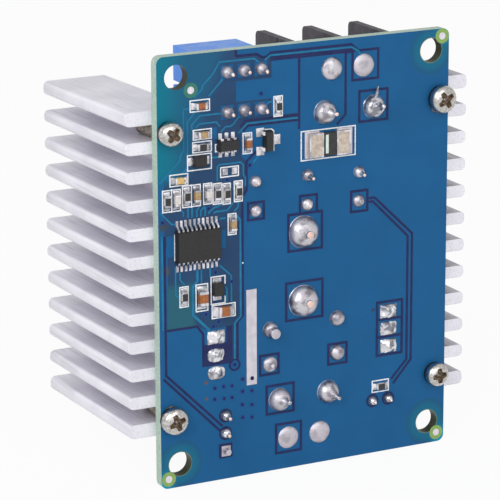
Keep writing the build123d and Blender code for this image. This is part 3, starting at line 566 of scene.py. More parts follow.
# Places on the board, X and Z in millimetres
PIN_PITCH = 2.54
trimmer_pins = [(-9.42 + step * PIN_PITCH, row) for row in (26.9, 21.45) for step in (-1, 0, 1)]
terminal_pins = [(2.81, 19.95), (10.43, 19.95), (-4.21, -19.95), (3.41, -19.95)]
small_cans = [(-7.8, 9.45), (0.15, 9.4), (8.15, 8.95)]
large_cans = [(-5.6, -12.2), (4.85, -12.0)]
small_leads = [(x, z + step * 2.05) for x, z in small_cans for step in (-1, 1)]
large_leads = [(x, z + step * 2.5) for x, z in large_cans for step in (-1, 1)]
coil_x, coil_z, coil_lead = -0.47, -1.34, 4.895
coil_leads = [(coil_x, coil_z + step * coil_lead) for step in (-1, 1)]
transistor_pins = [
    (x, -12.1 + step * PIN_PITCH) for x in (-14.0, 12.95) for step in (-1, 0, 1)
]
header_pins = [(-12.52, -23.55 + step * PIN_PITCH) for step in (-1, 0, 1)]
led_pins = [(11.85 + step * PIN_PITCH / 2, -22.45) for step in (-1, 1)]
screw_places = [
    (side * 20.7, MIDDLE_Z + level * 19.425) for side in (-1, 1) for level in (-1, 1)
]

# Depth in front of the board's face of each layer printed or etched on it
BARE, POUR, GAP, TRACE, PAD, SILK = -0.010, -0.016, -0.022, -0.042, -0.054, -0.060
UNDER = 0.0

# Bare laminate under the mask on the upper left
layer = Shape()
layer.prism(
    [
        (-17.6, 29.75), (-10.6, 29.75), (-10.6, 28.9), (-7.5, 28.9), (-6.7, 28.4), (-5.4, 28.4),
        (-5.2, 27.95), (-1.1, 27.95), (-1.1, 19.4), (-6.4, 19.3), (-9.4, 19.3), (-9.9, 18.6),
        (-9.9, 15.2), (-9.1, 14.4), (-9.1, 10.4), (-9.75, 9.6), (-9.75, -7.1), (-10.6, -7.9),
        (-10.6, -13.4), (-11.5, -13.4), (-11.5, -8.3), (-15.3, -8.3), (-16.7, -7.7), (-21.4, -7.7),
        (-21.4, 13.0), (-17.6, 13.0),
    ],
    BARE,
    UNDER,
)
layer.build("laminate_under_mask", [bare_mask], "board", smooth=0)

layer = Shape()
layer.prism(
    [
        (-10.6, 25.5), (-5.3, 25.5), (-5.3, 27.8), (-1.3, 27.8), (-1.3, 20.3), (-5.3, 20.3),
        (-5.3, 22.7), (-10.6, 22.7),
    ],
    POUR,
    UNDER,
)
for x, z in trimmer_pins:
    layer.slab(x - 0.95, x + 0.95, z - 0.95, z + 0.95, POUR, UNDER)
for x0, x1, z0, z1 in (
    (-21.1, -19.9, 2.5, 5.4),
    (-12.9, -12.3, 2.8, 5.3),
    (-14.2, -13.5, 18.0, 19.6),
    (-15.7, -11.7, -10.7, -8.4),
    (-18.0, -13.4, 5.6, 6.0),
    (-21.3, -21.0, -7.0, 4.0),
):
    layer.slab(x0, x1, z0, z1, POUR, UNDER)
layer.build("copper_under_mask", [pour_mask], "board", smooth=0)

# Gaps that part one copper area from the next
layer = Shape()
GAP_WIDTH = 0.35
for path in (
    [(-1.1, 27.95), (-1.1, 18.0)],
    [(-5.4, 27.95), (6.05, 27.95), (6.05, 19.3), (4.7, 18.0)],
    [
        (-10.6, 28.9), (-7.5, 28.9), (-6.7, 28.4), (-6.0, 28.4), (-5.4, 28.9), (6.9, 28.9),
        (8.0, 27.95), (11.1, 27.95), (11.1, 23.9), (7.1, 23.9), (7.1, 28.0),
    ],
    [(-10.6, 29.8), (-10.6, 28.9)],
    [(-1.1, 20.0), (-6.0, 20.0), (-9.2, 20.0), (-10.0, 19.2)],
    [(-1.1, 19.3), (-8.9, 19.3), (-9.6, 18.6)],
    [(-9.1, 14.4), (-8.5, 14.9), (-7.4, 15.8)],
    [(-9.1, 14.4), (-9.1, 10.4), (-9.75, 9.6), (-9.75, -7.1), (-10.6, -7.9), (-10.6, -13.3)],
    [(-15.8, -8.9), (-16.7, -7.7), (-21.4, -7.7), (-21.4, 5.5)],
    [(-21.4, -7.7), (-21.4, -14.0), (-13.0, -22.45)],
    [(-21.8, -14.45), (-13.4, -23.05)],
    [(-15.8, -8.9), (-15.8, -10.9), (-15.8, -13.4), (-11.6, -13.4), (-11.6, -10.9), (-15.8, -10.9)],
    [(-11.6, -8.4), (-11.6, -10.9)],
    [(9.6, 7.05), (10.7, 7.05), (16.75, 1.2), (16.75, -17.2), (13.9, -20.4)],
    [(9.6, 6.55), (10.4, 6.55), (16.05, 0.9), (16.05, -17.1), (13.6, -19.7)],
    [(11.25, -10.75), (15.25, -10.75)],
    [(11.25, -13.3), (15.25, -13.3)],
    [(10.55, -21.8), (10.9, -21.2)],
    [(13.1, -21.8), (12.8, -21.2)],
):
    layer.ribbon(path, GAP_WIDTH, GAP, UNDER)
for x0, x1, z0, z1 in (
    (8.2, 12.6, 18.0, 22.25),
    (-8.9, -6.5, 6.2, 8.55),
    (-0.95, 1.65, 6.15, 8.6),
    (-2.75, 2.45, 1.0, 6.15),
    (-3.1, 2.55, -8.85, -3.5),
    (7.0, 9.55, 5.4, 8.3),
    (-7.15, -4.3, -16.1, -13.3),
    (3.5, 6.4, -16.1, -13.2),
    (-6.15, -1.95, -21.9, -17.85),
    (-4.7, -0.8, -27.8, -23.65),
    (11.25, 15.25, -15.95, -8.2),
    (-13.37, -11.67, -26.94, -25.24),
):
    layer.frame_box(x0, x1, z0, z1, GAP_WIDTH, GAP, UNDER)
rings = [(place, 0.85) for place in header_pins[1:] + led_pins] + [((-11.05, -13.95), 0.75)]
for (x, z), radius in rings:
    layer.ribbon(disc(x, z, radius), 0.26, GAP, UNDER, closed=True)
layer.prism(
    [(-5.4, 27.8), (-5.4, 28.4), (6.9, 28.4), (7.6, 27.8), (6.2, 27.7), (6.0, 27.95)], GAP, UNDER
)
layer.slab(-15.8, -11.6, -13.4, -10.5, GAP, UNDER)
layer.slab(-12.3, -11.4, -13.4, -8.3, GAP, UNDER)
layer.build("gaps_in_copper", [gap_mask], "board", smooth=0)

# Traces
layer = Shape()
for width, path in (
    (0.24, [
        (-16.8, 23.9), (-15.65, 25.0), (-15.6, 25.4), (-14.0, 26.9), (-13.1, 28.35), (-7.9, 28.35),
        (-7.2, 27.8),
    ]),
    (0.24, [(-6.3, 28.0), (-5.5, 28.55), (7.0, 28.5), (8.0, 27.9), (8.86, 26.4)]),
    (0.24, [(-14.7, 23.9), (-12.6, 26.0)]),
    (0.22, [
        (-17.4, 22.5), (-18.45, 22.5), (-18.45, 17.0), (-18.95, 16.2), (-18.95, 15.7),
        (-22.0, 12.8),
    ]),
    (0.22, [(-16.7, 22.0), (-17.9, 20.7), (-17.9, 14.6), (-18.7, 13.8)]),
    (0.22, [(-12.8, 21.4), (-16.0, 21.4), (-17.2, 20.3), (-17.2, 19.7)]),
    (0.22, [(-16.6, 19.8), (-16.1, 20.3), (-13.6, 20.3), (-13.0, 19.6)]),
    (0.22, [(-10.2, 20.7), (-11.0, 19.8), (-11.4, 19.5), (-12.2, 19.5), (-12.9, 18.9)]),
    (0.24, [(-10.3, 18.4), (-9.0, 19.6), (-1.3, 19.6)]),
    (0.22, [(-5.2, 22.25), (-5.7, 22.2), (-6.3, 21.7)]),
    (0.22, [
        (-13.5, 12.2), (-13.5, 14.1), (-13.2, 14.4), (-10.0, 14.4), (-9.6, 14.0), (-9.6, 12.6),
        (-9.3, 12.2), (-9.3, 11.0),
    ]),
    (0.22, [(-7.3, 14.9), (-8.1, 14.2)]),
    (0.22, [(-14.3, 15.5), (-13.2, 15.5)]),
    (0.22, [(-22.0, 8.8), (-20.3, 7.0), (-19.4, 7.0)]),
    (0.22, [(-19.0, 8.9), (-18.6, 8.5), (-18.6, 7.9)]),
    (0.24, [(-17.9, 7.6), (-17.9, 9.0)]),
    (0.24, [(-17.3, 7.6), (-17.3, 9.0)]),
    (0.24, [(-16.6, 7.6), (-16.6, 8.5), (-16.2, 8.9)]),
    (0.24, [(-16.0, 7.6), (-16.0, 8.4), (-15.4, 8.9)]),
    (0.24, [(-15.35, 7.6), (-15.35, 8.8)]),
    (0.24, [(-14.8, 7.8), (-14.8, 8.0), (-14.0, 8.6), (-13.4, 8.7), (-12.9, 8.9)]),
    (0.24, [(-14.1, 7.8), (-13.8, 8.0), (-12.0, 8.0), (-11.2, 8.9)]),
    (0.24, [(-11.0, 7.7), (-10.4, 8.3), (-10.4, 9.0)]),
    (0.24, [(-13.2, 6.95), (-12.3, 6.95)]),
    (0.3, [(-10.8, 7.3), (-10.1, 6.4), (-10.1, -7.1), (-11.0, -8.0), (-11.05, -13.4)]),
    (0.22, [(-13.3, 0.5), (-11.5, -1.2), (-11.5, -1.8)]),
    (0.22, [(-11.5, -2.3), (-11.5, -4.8)]),
    (0.22, [(-12.4, -2.6), (-12.2, -3.0), (-12.2, -4.8)]),
    (0.36, [
        (-16.6, 0.2), (-16.6, -1.3), (-17.3, -2.0), (-17.3, -6.0), (-15.0, -8.3), (-15.0, -9.0),
    ]),
    (0.22, [(-16.0, 0.2), (-16.0, -1.8)]),
    (0.22, [(-14.7, 0.3), (-14.7, -1.0)]),
    (0.22, [(-19.2, 0.2), (-19.2, -0.8), (-18.5, -1.6)]),
    (0.22, [(-19.85, 1.0), (-19.85, -2.9), (-19.3, -3.3)]),
    (0.3, [(-21.8, 5.5), (-21.8, -7.6)]),
):
    layer.ribbon(path, width, TRACE, UNDER)
layer.build("traces", [trace_mask], "board", smooth=0)

# Vias: a mask-covered ring with a dark dimple
layer = Shape()
for x, z in (
    (-14.09, -16.85), (-12.78, -16.82), (-11.48, -16.9), (-14.15, -18.46), (-12.69, -18.56),
    (-11.49, -18.57), (-9.85, -16.19), (-9.88, -17.94), (-8.44, -18.06), (-9.92, -19.85),
    (-8.44, -20.06), (-9.88, -21.73), (-8.46, -21.88), (-8.64, 13.84), (-13.88, -0.44),
    (-11.44, -2.04), (-15.34, -6.16), (-13.45, -7.45), (-14.25, -8.0), (-14.86, 8.55),
    (-12.0, 12.2), (-11.05, -13.92), (-21.69, 7.4), (-6.87, 23.49),
):
    layer.prism(disc(x, z, 0.36, 16), TRACE, UNDER, 0)
    layer.prism(disc(x, z, 0.19, 12), PAD, UNDER, 1)
layer.build("vias", [via_ring, via_dark], "board", smooth=0)

# Fiducials: a tinned dot in a ring without mask
layer = Shape()
for x, z, kind in ((-17.33, 24.97, 0), (21.2, 28.75, 1), (-21.2, -28.85, 1), (21.05, -28.8, 1)):
    layer.prism(disc(x, z, 1.05, 28), TRACE, UNDER, kind)
    layer.prism(disc(x, z, 0.5, 20), PAD, UNDER, 2)
layer.build("fiducials", [ring_green, ring_lime, disc_tin], "board", smooth=0)

# Chips: middle, whether it stands upright, and which tone a capacitor has
small_chips = [
    (-15.73, 17.15, False, None), (11.84, -20.42, False, None), (-4.31, 21.51, True, None),
    (-21.02, 10.26, True, None), (-18.1, 10.6, True, None), (-13.53, 10.46, True, None),
    (-12.13, 10.3, True, None), (-10.38, 10.45, True, None), (-18.63, -3.26, True, None),
    (-16.0, 22.78, False, 0), (-15.68, 18.85, False, 1), (-19.2, 12.98, False, 2),
    (-8.97, 16.9, True, 0), (-19.62, 10.3, True, 3), (-16.67, 10.6, True, 1),
    (-14.96, 10.63, True, 3), (-11.34, 5.98, True, 1),
]
large_chips = [(-15.96, -3.71, True, 0), (-12.7, -5.98, False, 0)]

bodies = Shape()
ends = Shape()
fillets = Shape()


def fillet_wedge(x, z, upright, step, length, width, height, reach):
    """Solder that climbs one end of a chip from its pad."""
    grid = []
    for share in (0.0, 0.25, 0.5, 0.75, 1.0):
        along = step * (length / 2 + reach * share)
        up = height * (1 - share) ** 2 + 0.03
        half = width / 2 * (1.05 + 0.12 * share)
        lump = 0.03 * noise.noise(Vector((x * 3 + share * 4, z * 3, step)))
        for side in (-1, -0.5, 0, 0.5, 1):
            dx, dz = (side * half, along) if upright else (along, side * half)
            grid.append((x + dx, -(up * (1 - 0.35 * abs(side)) + lump), z + dz))
    fillets.cover(grid, 4, -0.01)


# Length, width, end cap, reach of the solder and heights of a resistor and of a capacitor
for (length, width, end, reach, low, high), chips in (
    ((1.6, 0.8, 0.3, 0.46, 0.5, 0.75), small_chips),
    ((2.0, 1.25, 0.4, 0.6, 0.85, 0.85), large_chips),
):
    for x, z, upright, tone in chips:
        height = low if tone is None else high
        if tone is not None:
            core = length - 2 * end
            size = (width, height, core) if upright else (core, height, width)
            bodies.block((x, -height / 2, z), size, 0.05, tone)
        for step in (-1, 1):
            offset = step * (length - end) / 2
            dx, dz = (0, offset) if upright else (offset, 0)
            thick, wide = height + 0.03, width + 0.06
            size = (wide, thick, end) if upright else (end, thick, wide)
            ends.block((x + dx, -height / 2 - 0.01, z + dz), size, 0.07)
            fillet_wedge(x, z, upright, step, length, width, height * 0.72, reach)
bodies.build("capacitor_chips", chip_tones, "chip_tan", ["chip_capacitors"], 50)
ends.build("chip_end_caps", [tin], "tinned", ["chip_ends"], 50)
fillets.build("chip_solder", [tin], "solder", smooth=60)

# Formed leads of the controller, driver and switch
leads = Shape()
foot_pads = Shape()


def gull_lead(x, z, way, body_edge, tip, width, height=0.58, sheet=0.16):
    """One lead that leaves the body, bends down and ends in a foot on its pad."""
    foot = 0.5
    outline = [
        (body_edge - 0.1, height + sheet), (body_edge + 0.12, height + sheet),
        (body_edge + 0.24, height + sheet * 0.7), (tip - foot - 0.06, sheet * 1.6),
        (tip - foot + 0.06, sheet), (tip, sheet),
        (tip, 0.01), (tip - foot, 0.01), (tip - foot - 0.14, sheet * 0.8),
        (body_edge + 0.12, height - 0.03), (body_edge, height), (body_edge - 0.1, height),
    ]
    sides = []
    for half in (-width / 2, width / 2):
        sides.append([
            (x + way[0] * along + way[1] * half, -up, z + way[1] * along + way[0] * half)
            for along, up in outline
        ])
    leads.plate(*sides)
    middle, reach = tip + 0.05 - foot / 2, foot + 0.4
    size = (reach, 0.1, width + 0.12) if way[0] else (width + 0.12, 0.1, reach)
    foot_pads.block((x + way[0] * middle, -0.03, z + way[1] * middle), size, 0.04)


# Middle of each body with formed leads, and how far its leads are spaced
controller_x, controller_z, controller_pitch = -16.65, 3.85, 0.65
driver_x, driver_z, driver_pitch = -12.1, 17.05, 0.95
switch_x, switch_z, switch_offset = -6.05, 17.0, 1.1
for step in range(10):
    x = controller_x + (step - 4.5) * controller_pitch
    for sign in (-1, 1):
        gull_lead(x, controller_z, (0, sign), 2.13, 3.3, 0.25, 0.62)
for step in (-1, 0, 1):
    for sign in (-1, 1):
        gull_lead(driver_x + step * driver_pitch, driver_z, (0, sign), 0.75, 1.4, 0.42)
for way, step in ((-1, -1), (-1, 1), (1, 0)):
    gull_lead(switch_x, switch_z + step * switch_offset, (way, 0), 0.6, 1.25, 0.48)
leads.build(
    "formed_leads", [tin], "tinned", ["controller_leads", "driver_leads", "switch_leads"], 30
)
for x, z in ((-12.35, 13.35), (-10.95, 13.35)):
    foot_pads.block((x, -0.05, z), (0.8, 0.12, 0.9), 0.05)
for x, z, width, height in (
    (-7.08, 18.2, 1.2, 1.2), (-7.05, 15.62, 1.2, 1.2), (-4.5, 17.0, 0.95, 1.35),
    (-17.4, 15.3, 0.9, 1.1), (-15.05, 15.3, 0.7, 1.1),
    (-13.7, -1.6, 1.3, 0.8), (-13.7, -3.95, 1.3, 0.8),
):
    foot_pads.block((x, -0.06, z), (width, 0.14, height), 0.05)
foot_pads.build("surface_pads", [tin], "solder", smooth=50)

# Shunt: pale pads that stand out above and below its ends, and a pale stripe on its cover
pads = Shape()
for x0, x1 in ((-0.25, 2.0), (4.75, 7.1)):
    pads.block(((x0 + x1) / 2, -0.03, 15.6), (x1 - x0, 0.1, 3.7), 0.04)
pads.build("shunt_pads", [pale_tin], "solder", smooth=50)
stripe = Shape()
stripe.slab(2.7, 3.14, 14.3, 16.9, -0.612, -0.59)
stripe.build("shunt_stripe", [stripe_ink], "shunt_black", smooth=0)
rims = Shape()
for x0, x1 in ((0.3, 2.25), (4.5, 6.45)):
    rims.frame_box(x0, x1, 13.98, 17.14, 0.22, -0.705, -0.66)
rims.build("shunt_rims", [tin], "tinned", smooth=0)

# White printed outlines
layer = Shape()
LINE = 0.16
for x, z, width, height in (
    (-16.0, 22.78, 3.09, 1.8), (-15.68, 18.85, 2.91, 1.59), (-15.73, 17.15, 2.99, 1.68),
    (-16.14, 15.11, 3.77, 2.36), (-19.2, 12.98, 2.88, 1.82), (-4.31, 21.51, 1.52, 3.01),
    (-8.97, 16.9, 1.53, 3.09), (-11.67, 13.3, 2.9, 1.6), (-20.32, 10.26, 2.84, 3.22),
    (-17.37, 10.6, 2.88, 3.2), (-14.96, 10.63, 1.45, 3.1), (-13.53, 10.46, 1.45, 3.1),
    (-12.13, 10.3, 1.35, 3.1), (-10.38, 10.45, 1.45, 3.1), (-11.34, 5.98, 1.42, 3.16),
    (-18.63, -3.26, 1.47, 3.08), (-15.96, -3.71, 1.99, 4.03), (-12.7, -5.98, 3.72, 2.1),
    (11.84, -20.42, 2.85, 1.93), (3.38, 15.56, 8.6, 4.33),
):
    half_x, half_z = width / 2 - 0.12, height / 2 - 0.14
    layer.frame_box(x - half_x, x + half_x, z - half_z, z + half_z, LINE, SILK, UNDER)
for path in (
    [(-20.3, 11.87), (-20.3, 8.65)],
    [(-17.37, 12.2), (-17.37, 9.0)],
    [(-19.5, 5.5), (-19.9, 5.5), (-19.93, 2.0), (-19.5, 2.0)],
    [(-13.3, 17.24), (-13.75, 17.24), (-13.75, 16.25), (-13.3, 16.25)],
    [(-6.4, 18.5), (-5.3, 18.45), (-5.0, 18.2), (-5.0, 15.4)],
    [
        (-12.47, -2.2), (-12.47, -1.05), (-14.57, -1.05), (-14.57, -4.87), (-12.47, -4.87),
        (-12.47, -3.9),
    ],
):
    layer.ribbon(path, LINE, SILK, UNDER)
layer.prism(disc(-9.75, 0.35, 0.12, 8), SILK, UNDER)
layer.build("printed_outlines", [silk], "board", smooth=0)

# Solder joints with the ends of the leads in them
joint_looks = [solder, copper_tip, bright_solder, flat_solder, dull_solder]
CLOUDY, COPPER, BRIGHT, FLAT, DULL = range(5)
joints = Shape()


def joint(x, z, radius, height, kind, seed, wobble=0.05):
    """A rounded mound of solder."""
    profile = [(radius * 1.03, 0.0), (radius, 0.05)]
    for step in range(1, 14):
        turn = math.pi / 2 * step / 14
        profile.append((radius * math.cos(turn) ** 0.85, 0.05 + (height - 0.05) * math.sin(turn)))
    profile.append((0.03, height))
    joints.lathe((x, 0, z), -1, profile, 32, kind, wobble, seed)


def lead_end(x, z, foot, radius, start, tail, kind, lean=(0, 0), tip=COPPER):
    """The cut end of a lead, with solder drawn up round its foot in a hollow curve."""
    rows = []
    for share in (step / 6 for step in range(7)):
        wide = radius + (foot - radius) * (1 - share) ** 2.2
        rows.append((wide, start + (tail - 0.1 - start) * share, kind))
    rows += [(radius * 0.96, tail - 0.05, tip), (radius * 0.6, tail, tip)]
    for (wide, low, _), (narrow, high, above) in zip(rows, rows[1:]):
        first, last = [(y - start) / (tail - start) for y in (low, high)]
        foot_place = (x + lean[0] * first, -low, z + lean[1] * first)
        step_lean = [part * (last - first) for part in lean]
        ring = [(wide, 0.0), (narrow, high - low)]
        joints.lathe(foot_place, -1, ring, 18, above, lean=step_lean)


for n, (x, z) in enumerate(trimmer_pins):
    joint(x, z, 0.84, 1.0, FLAT, n * 1.7)
    lead_end(x, z, 0.62, 0.22, 0.72, 1.9, FLAT, ((0.1, -0.12), (0, 0), (0.08, -0.2))[n % 3])
for n, (x, z) in enumerate(terminal_pins):
    joint(x, z, 1.6, 1.5, (CLOUDY, BRIGHT, FLAT, CLOUDY)[n], 11 + n * 2.3, 0.03)
    lean = ((0.6, 0.1), (0.25, 0.45), (0.4, 0.1), (0.6, -0.45))[n]
    lead_end(
        x, z, 0.85, 0.27, 1.3, 2.55, BRIGHT if n == 1 else CLOUDY, lean, BRIGHT if n else COPPER
    )
for n, (x, z) in enumerate(small_leads):
    radius, height = ((0.86, 0.6), (0.82, 0.85))[n % 2]
    joint(x, z, radius, height, CLOUDY if n in (3, 5) else DULL, 23 + n * 1.3)
    tail = (0, 1.0, 0.9, 1.75, 0, 1.6)[n]
    if tail:
        lead_end(x, z, 0.5, 0.22, 0.5, tail, BRIGHT, (0.12, -0.2))
for n, (x, z) in enumerate(large_leads):
    joint(x, z, 1.1, (0.5, 1.0, 0.9, 0.9)[n], DULL, 31 + n * 1.9)
    if n == 1:
        lead_end(x, z, 1.0, 0.72, 0.35, 1.45, DULL, (0.25, -0.35), FLAT)
for n, (x, z) in enumerate(coil_leads):
    joint(x, z, 2.2, 1.75, CLOUDY, 41 + n * 3.1)
    lead_end(x, z, 1.15, 0.52, 1.45, 2.1, BRIGHT, (0.08, -0.05))
for n, (x, z) in enumerate(header_pins):
    if n == 0:
        joints.block((x - 0.02, -0.12, z), (1.4, 0.26, 1.5), 0.09, FLAT)
        stub = [(0.5, 0.0), (0.45, 0.35), (0.42, 1.0), (0.2, 1.02)]
        joints.lathe((x, 0, z), -1, stub, 16, FLAT)
    else:
        joint(x, z, 0.74, 0.85, BRIGHT, 51 + n * 1.1)
        lead_end(x, z, 0.5, 0.24, 0.55, 1.45 if n == 2 else 1.2, BRIGHT, (0.1, -0.15))
# Square pins of the header, which end inside their joints
top, below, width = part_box("header_pins")[1].y / MM, 0.7, 0.64
pins = Shape()
for x, z in header_pins:
    pins.block((x, (top - below) / 2, z), (width, top + below, width), 0.12)
pins.build("header_posts", [brass], "brass", ["header_pins"], 40)
for n, (x, z) in enumerate(led_pins):
    joint(x, z, 0.62, 0.75, BRIGHT, 61 + n * 1.1)
    lead_end(x, z, 0.4, 0.18, 0.5, 1.05, BRIGHT, (0.05, -0.12))
# Spike of solder drawn off the right joint at the top
spike = [(0.2, 0.0), (0.2, 0.2), (0.12, 0.32), (0.03, 0.4)]
joints.lathe((10.6, -0.5, 21.4), -1, spike, 10, BRIGHT, lean=(0.05, 1.5))
joints.build("joints", joint_looks, "solder", ["solder_joints"], 50)

# Plates of the terminals' contacts, and the parts of their pins inside the block
for label, sign, middle in (("top", 1, 6.62), ("bottom", -1, -0.4)):
    contacts = Shape()
    low, high = [corner.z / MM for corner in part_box(f"terminal_{label}_contacts")]
    for step in (-1, 1):
        size = (5.9, 0.8, high - low)
        contacts.block((middle + step * 3.65, 7.6, (low + high) / 2), size, 0.1)
        pin = [(0.5, 0.0), (0.48, 7.6), (0.2, 7.7)]
        contacts.lathe((middle + step * 3.81, 7.3, sign * 19.95), -1, pin, 12)
    contacts.build(f"contacts_{label}", [tin], "tinned", [f"terminal_{label}_contacts"], 40)

# Pads filled with solder, and the tinned strip
pad_looks = [solder, pale_tin, via_dark, bright_solder, flat_solder]
ROUGH, PALE, DARK, SHINY, SATIN = range(5)
filled = Shape()
for n, (x, z) in enumerate(((3.88, 25.84), (8.86, 25.84), (-2.81, -25.74), (2.15, -25.74))):
    tall = (0.7, 0.35, 0.35, 0.4)[n]
    turns = [step * math.pi / 16 for step in range(1, 8)]
    dome = [(1.58 * math.cos(turn) ** 0.8, tall * math.sin(turn)) for turn in turns]
    profile = [(1.6, 0.0)] + dome + [(0.05, tall)]
    filled.lathe((x, 0, z), -1, profile, 32, SATIN if n else ROUGH, 0.03, 70 + n * 2.1)
filled.lathe((3.5, -0.55, 25.9), -1, [(0.3, 0.0), (0.26, 0.09), (0.1, 0.1)], 12, DARK)
filled.slab(-9.27, -7.72, -17.15, -3.55, -0.15, 0.0, PALE)
filled.lathe((-8.44, 0, -16.23), -1, [(0.32, 0.0), (0.3, 0.154), (0.05, 0.155)], 16, DARK)


def tinned_pad(cx, cz, width, height, seed, bite):
    """A rectangular pad of solder that rises round the lead in its middle."""
    columns, rows = 16, 12
    grid = []
    for r in range(rows + 1):
        for c in range(columns + 1):
            u, v = 2 * c / columns - 1, 2 * r / rows - 1
            squeeze = 1 - bite * (u * v) ** 2
            px, pz = u * width / 2 * squeeze, v * height / 2 * squeeze
            rim = (1 - u**6) * (1 - v**6)
            lump = math.exp(-(px**2 + pz**2) / 0.28)
            ripple = noise.noise(Vector((px * 1.4 + seed, pz * 1.4, seed)))
            grid.append((cx + px, -0.04 - rim * (0.22 + 0.4 * lump + 0.3 * ripple), cz + pz))
    filled.cover(grid, columns, 0.0, SHINY)


for n, (x, z) in enumerate(transistor_pins):
    tinned_pad(x + 0.12, z - 0.05, 2.65, 2.0, n * 3.7, (0.26, 0.22, 0.04, 0.06, 0.1, 0.04)[n])
filled.build("filled_pads", pad_looks, "solder", ["solder_pads"], 50)

# Board screws: domed heads that stand a little off the board, with a cross recess, and threads
heads = Shape()
shanks = Shape()
cutters = Shape()
LIFT, RIM, CROWN = 0.6, 0.6, 0.8
RECESS_TOP, RECESS_FLOOR = -LIFT - 1.7, -LIFT - 0.5
THREAD_PITCH, THREAD_END = 0.55, 8.0
METAL, RECESS, SHADOW_WASHER = range(3)
# Radius of each head, how far it sits from the middle of its hole, and how far it is turned
head_places = [
    (1.9, 0.05, -0.65, 0.35), (1.68, -0.05, 0.35, 0.9), (1.7, -0.2, -0.15, 0.1),
    (1.93, 0.18, 0.85, 0.55),
]
for (x, z), (radius, shift_x, shift_z, turned) in zip(screw_places, head_places):
    hx, hz = x + shift_x, z + shift_z
    # Underside, a dark washer of painted shadow between the raised head and the board, side and
    # dome
    profile = [
        (1.0, 0.02), (radius - 0.16, 0.02), (radius - 0.12, 0.06), (radius - 0.12, LIFT - 0.06),
        (radius - 0.2, LIFT), (radius - 0.07, LIFT), (radius, LIFT + 0.1), (radius, LIFT + RIM),
    ]
    for step in range(1, 8):
        turn = math.pi / 2 * step / 8
        profile.append((radius * math.cos(turn) ** 0.5, LIFT + RIM + CROWN * math.sin(turn)))
    profile.append((0.05, LIFT + RIM + CROWN))
    kinds = [SHADOW_WASHER] * 4 + [METAL] * (len(profile) - 5)
    heads.lathe((hx, 0, hz), -1, profile, 48, kinds)
    arm = radius * 0.64
    outline = [
        (-arm, -0.3), (-0.5, -0.45), (0.5, -0.45), (arm, -0.3),
        (arm, 0.3), (0.5, 0.45), (-0.5, 0.45), (-arm, 0.3),
    ]
    for angle in (turned, turned + math.pi / 2):
        way = Vector((math.cos(angle), math.sin(angle)))
        across = Vector((-way.y, way.x))
        corners = [(way * a + across * b) for a, b in outline]
        cross = [(hx + c.x, hz + c.y) for c in corners]
        cutters.prism(cross, RECESS_TOP, RECESS_FLOOR)
    # Bright cone at the bottom of the recess
    cone = [(0.5, 0.0), (0.3, 0.4), (0.08, 0.62)]
    shanks.lathe((hx, RECESS_FLOOR + 0.05, hz), -1, cone, 12)
    profile = [(1.15, -LIFT - 0.1), (1.15, 0.0)]
    depth = 0.0
    while depth < THREAD_END - 0.1:
        profile += [(1.25, depth), (1.24, depth + 0.12), (0.95, depth + 0.3), (0.95, depth + 0.38)]
        depth += THREAD_PITCH
    profile += [(0.9, THREAD_END)]
    shanks.lathe((x, 0, z), 1, profile, 20, [RECESS] + [METAL] * (len(profile) - 2))
head_object = heads.build("screw_heads_raw", [steel, recess_brown, painted_shadow_washer], None)
cutter_object = cutters.build("screw_cutters_raw", [recess_brown], None, smooth=0)
cut = head_object.modifiers.new("cut", "BOOLEAN")
cut.operation = "DIFFERENCE"
cut.solver = "EXACT"
cut.use_self = True
cut.material_mode = "TRANSFER"
cut.object = cutter_object
bpy.context.view_layer.update()
graph = bpy.context.evaluated_depsgraph_get()
cut_mesh = bpy.data.meshes.new_from_object(head_object.evaluated_get(graph))
cut_mesh.name = "screw_heads"
for spare in (head_object, cutter_object):
    bpy.data.objects.remove(spare)
screw_heads = bpy.data.objects.new("screw_heads", cut_mesh)
bpy.context.scene.collection.objects.link(screw_heads)
dress(screw_heads, ["heatsink_screws"])
shanks.build("screw_threads", [thread_steel, recess_brown], "steel_screw", ["heatsink_screws"], 40)


# Heatsinks: one extruded profile each, with rounded fin tips
def heatsink(name, side, node_name, lean=0.0, lift=0.0):
    """One heatsink; lean tilts its fins along their depth, and lift raises them."""
    bottom, top = [corner.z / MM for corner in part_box(node_name)]
    tip, fin_depth, base = 26.25, 6.45, 2.9
    gap, thick, end, radius, notch = 2.2, 1.72, 1.95, 0.68, 0.25
    root, middle = tip - fin_depth, tip - radius
    widths = [end] + [thick] * 10 + [end]
    outline = [(root - base, bottom), (root, bottom)]
    low = bottom
    for index, width in enumerate(widths):
        high = low + width
        if index:
            outline += [(root + notch, low)]
        for corner, level in ((-1, low + radius), (0, high - radius)):
            for part in range(6):
                turn = math.pi / 2 * (part / 5 + corner)
                out, up = radius * math.cos(turn), radius * math.sin(turn)
                outline.append((middle + out, level + up))
        if index < len(widths) - 1:
            outline += [(root + notch, high), (root, high + notch), (root, high + gap - notch)]
        low = high + gap
    outline += [(root - base, top)]
    rings = []
    for y, pull in ((1.6, 0.06), (1.72, 0.0), (28.88, 0.0), (29.0, 0.06)):
        shift = lift + lean * (y - THICKNESS)
        rings.append([(side * (x - pull * (x > root + 1)), y, z + shift) for x, z in outline])
    shape = Shape()
    shape.loft(rings)
    return shape.build(name, [aluminium], "heatsink", [node_name], 30)


heatsink("sink_left", -1, "heatsink_left", lean=-0.027)
heatsink("sink_right", 1, "heatsink_right", lift=0.2)


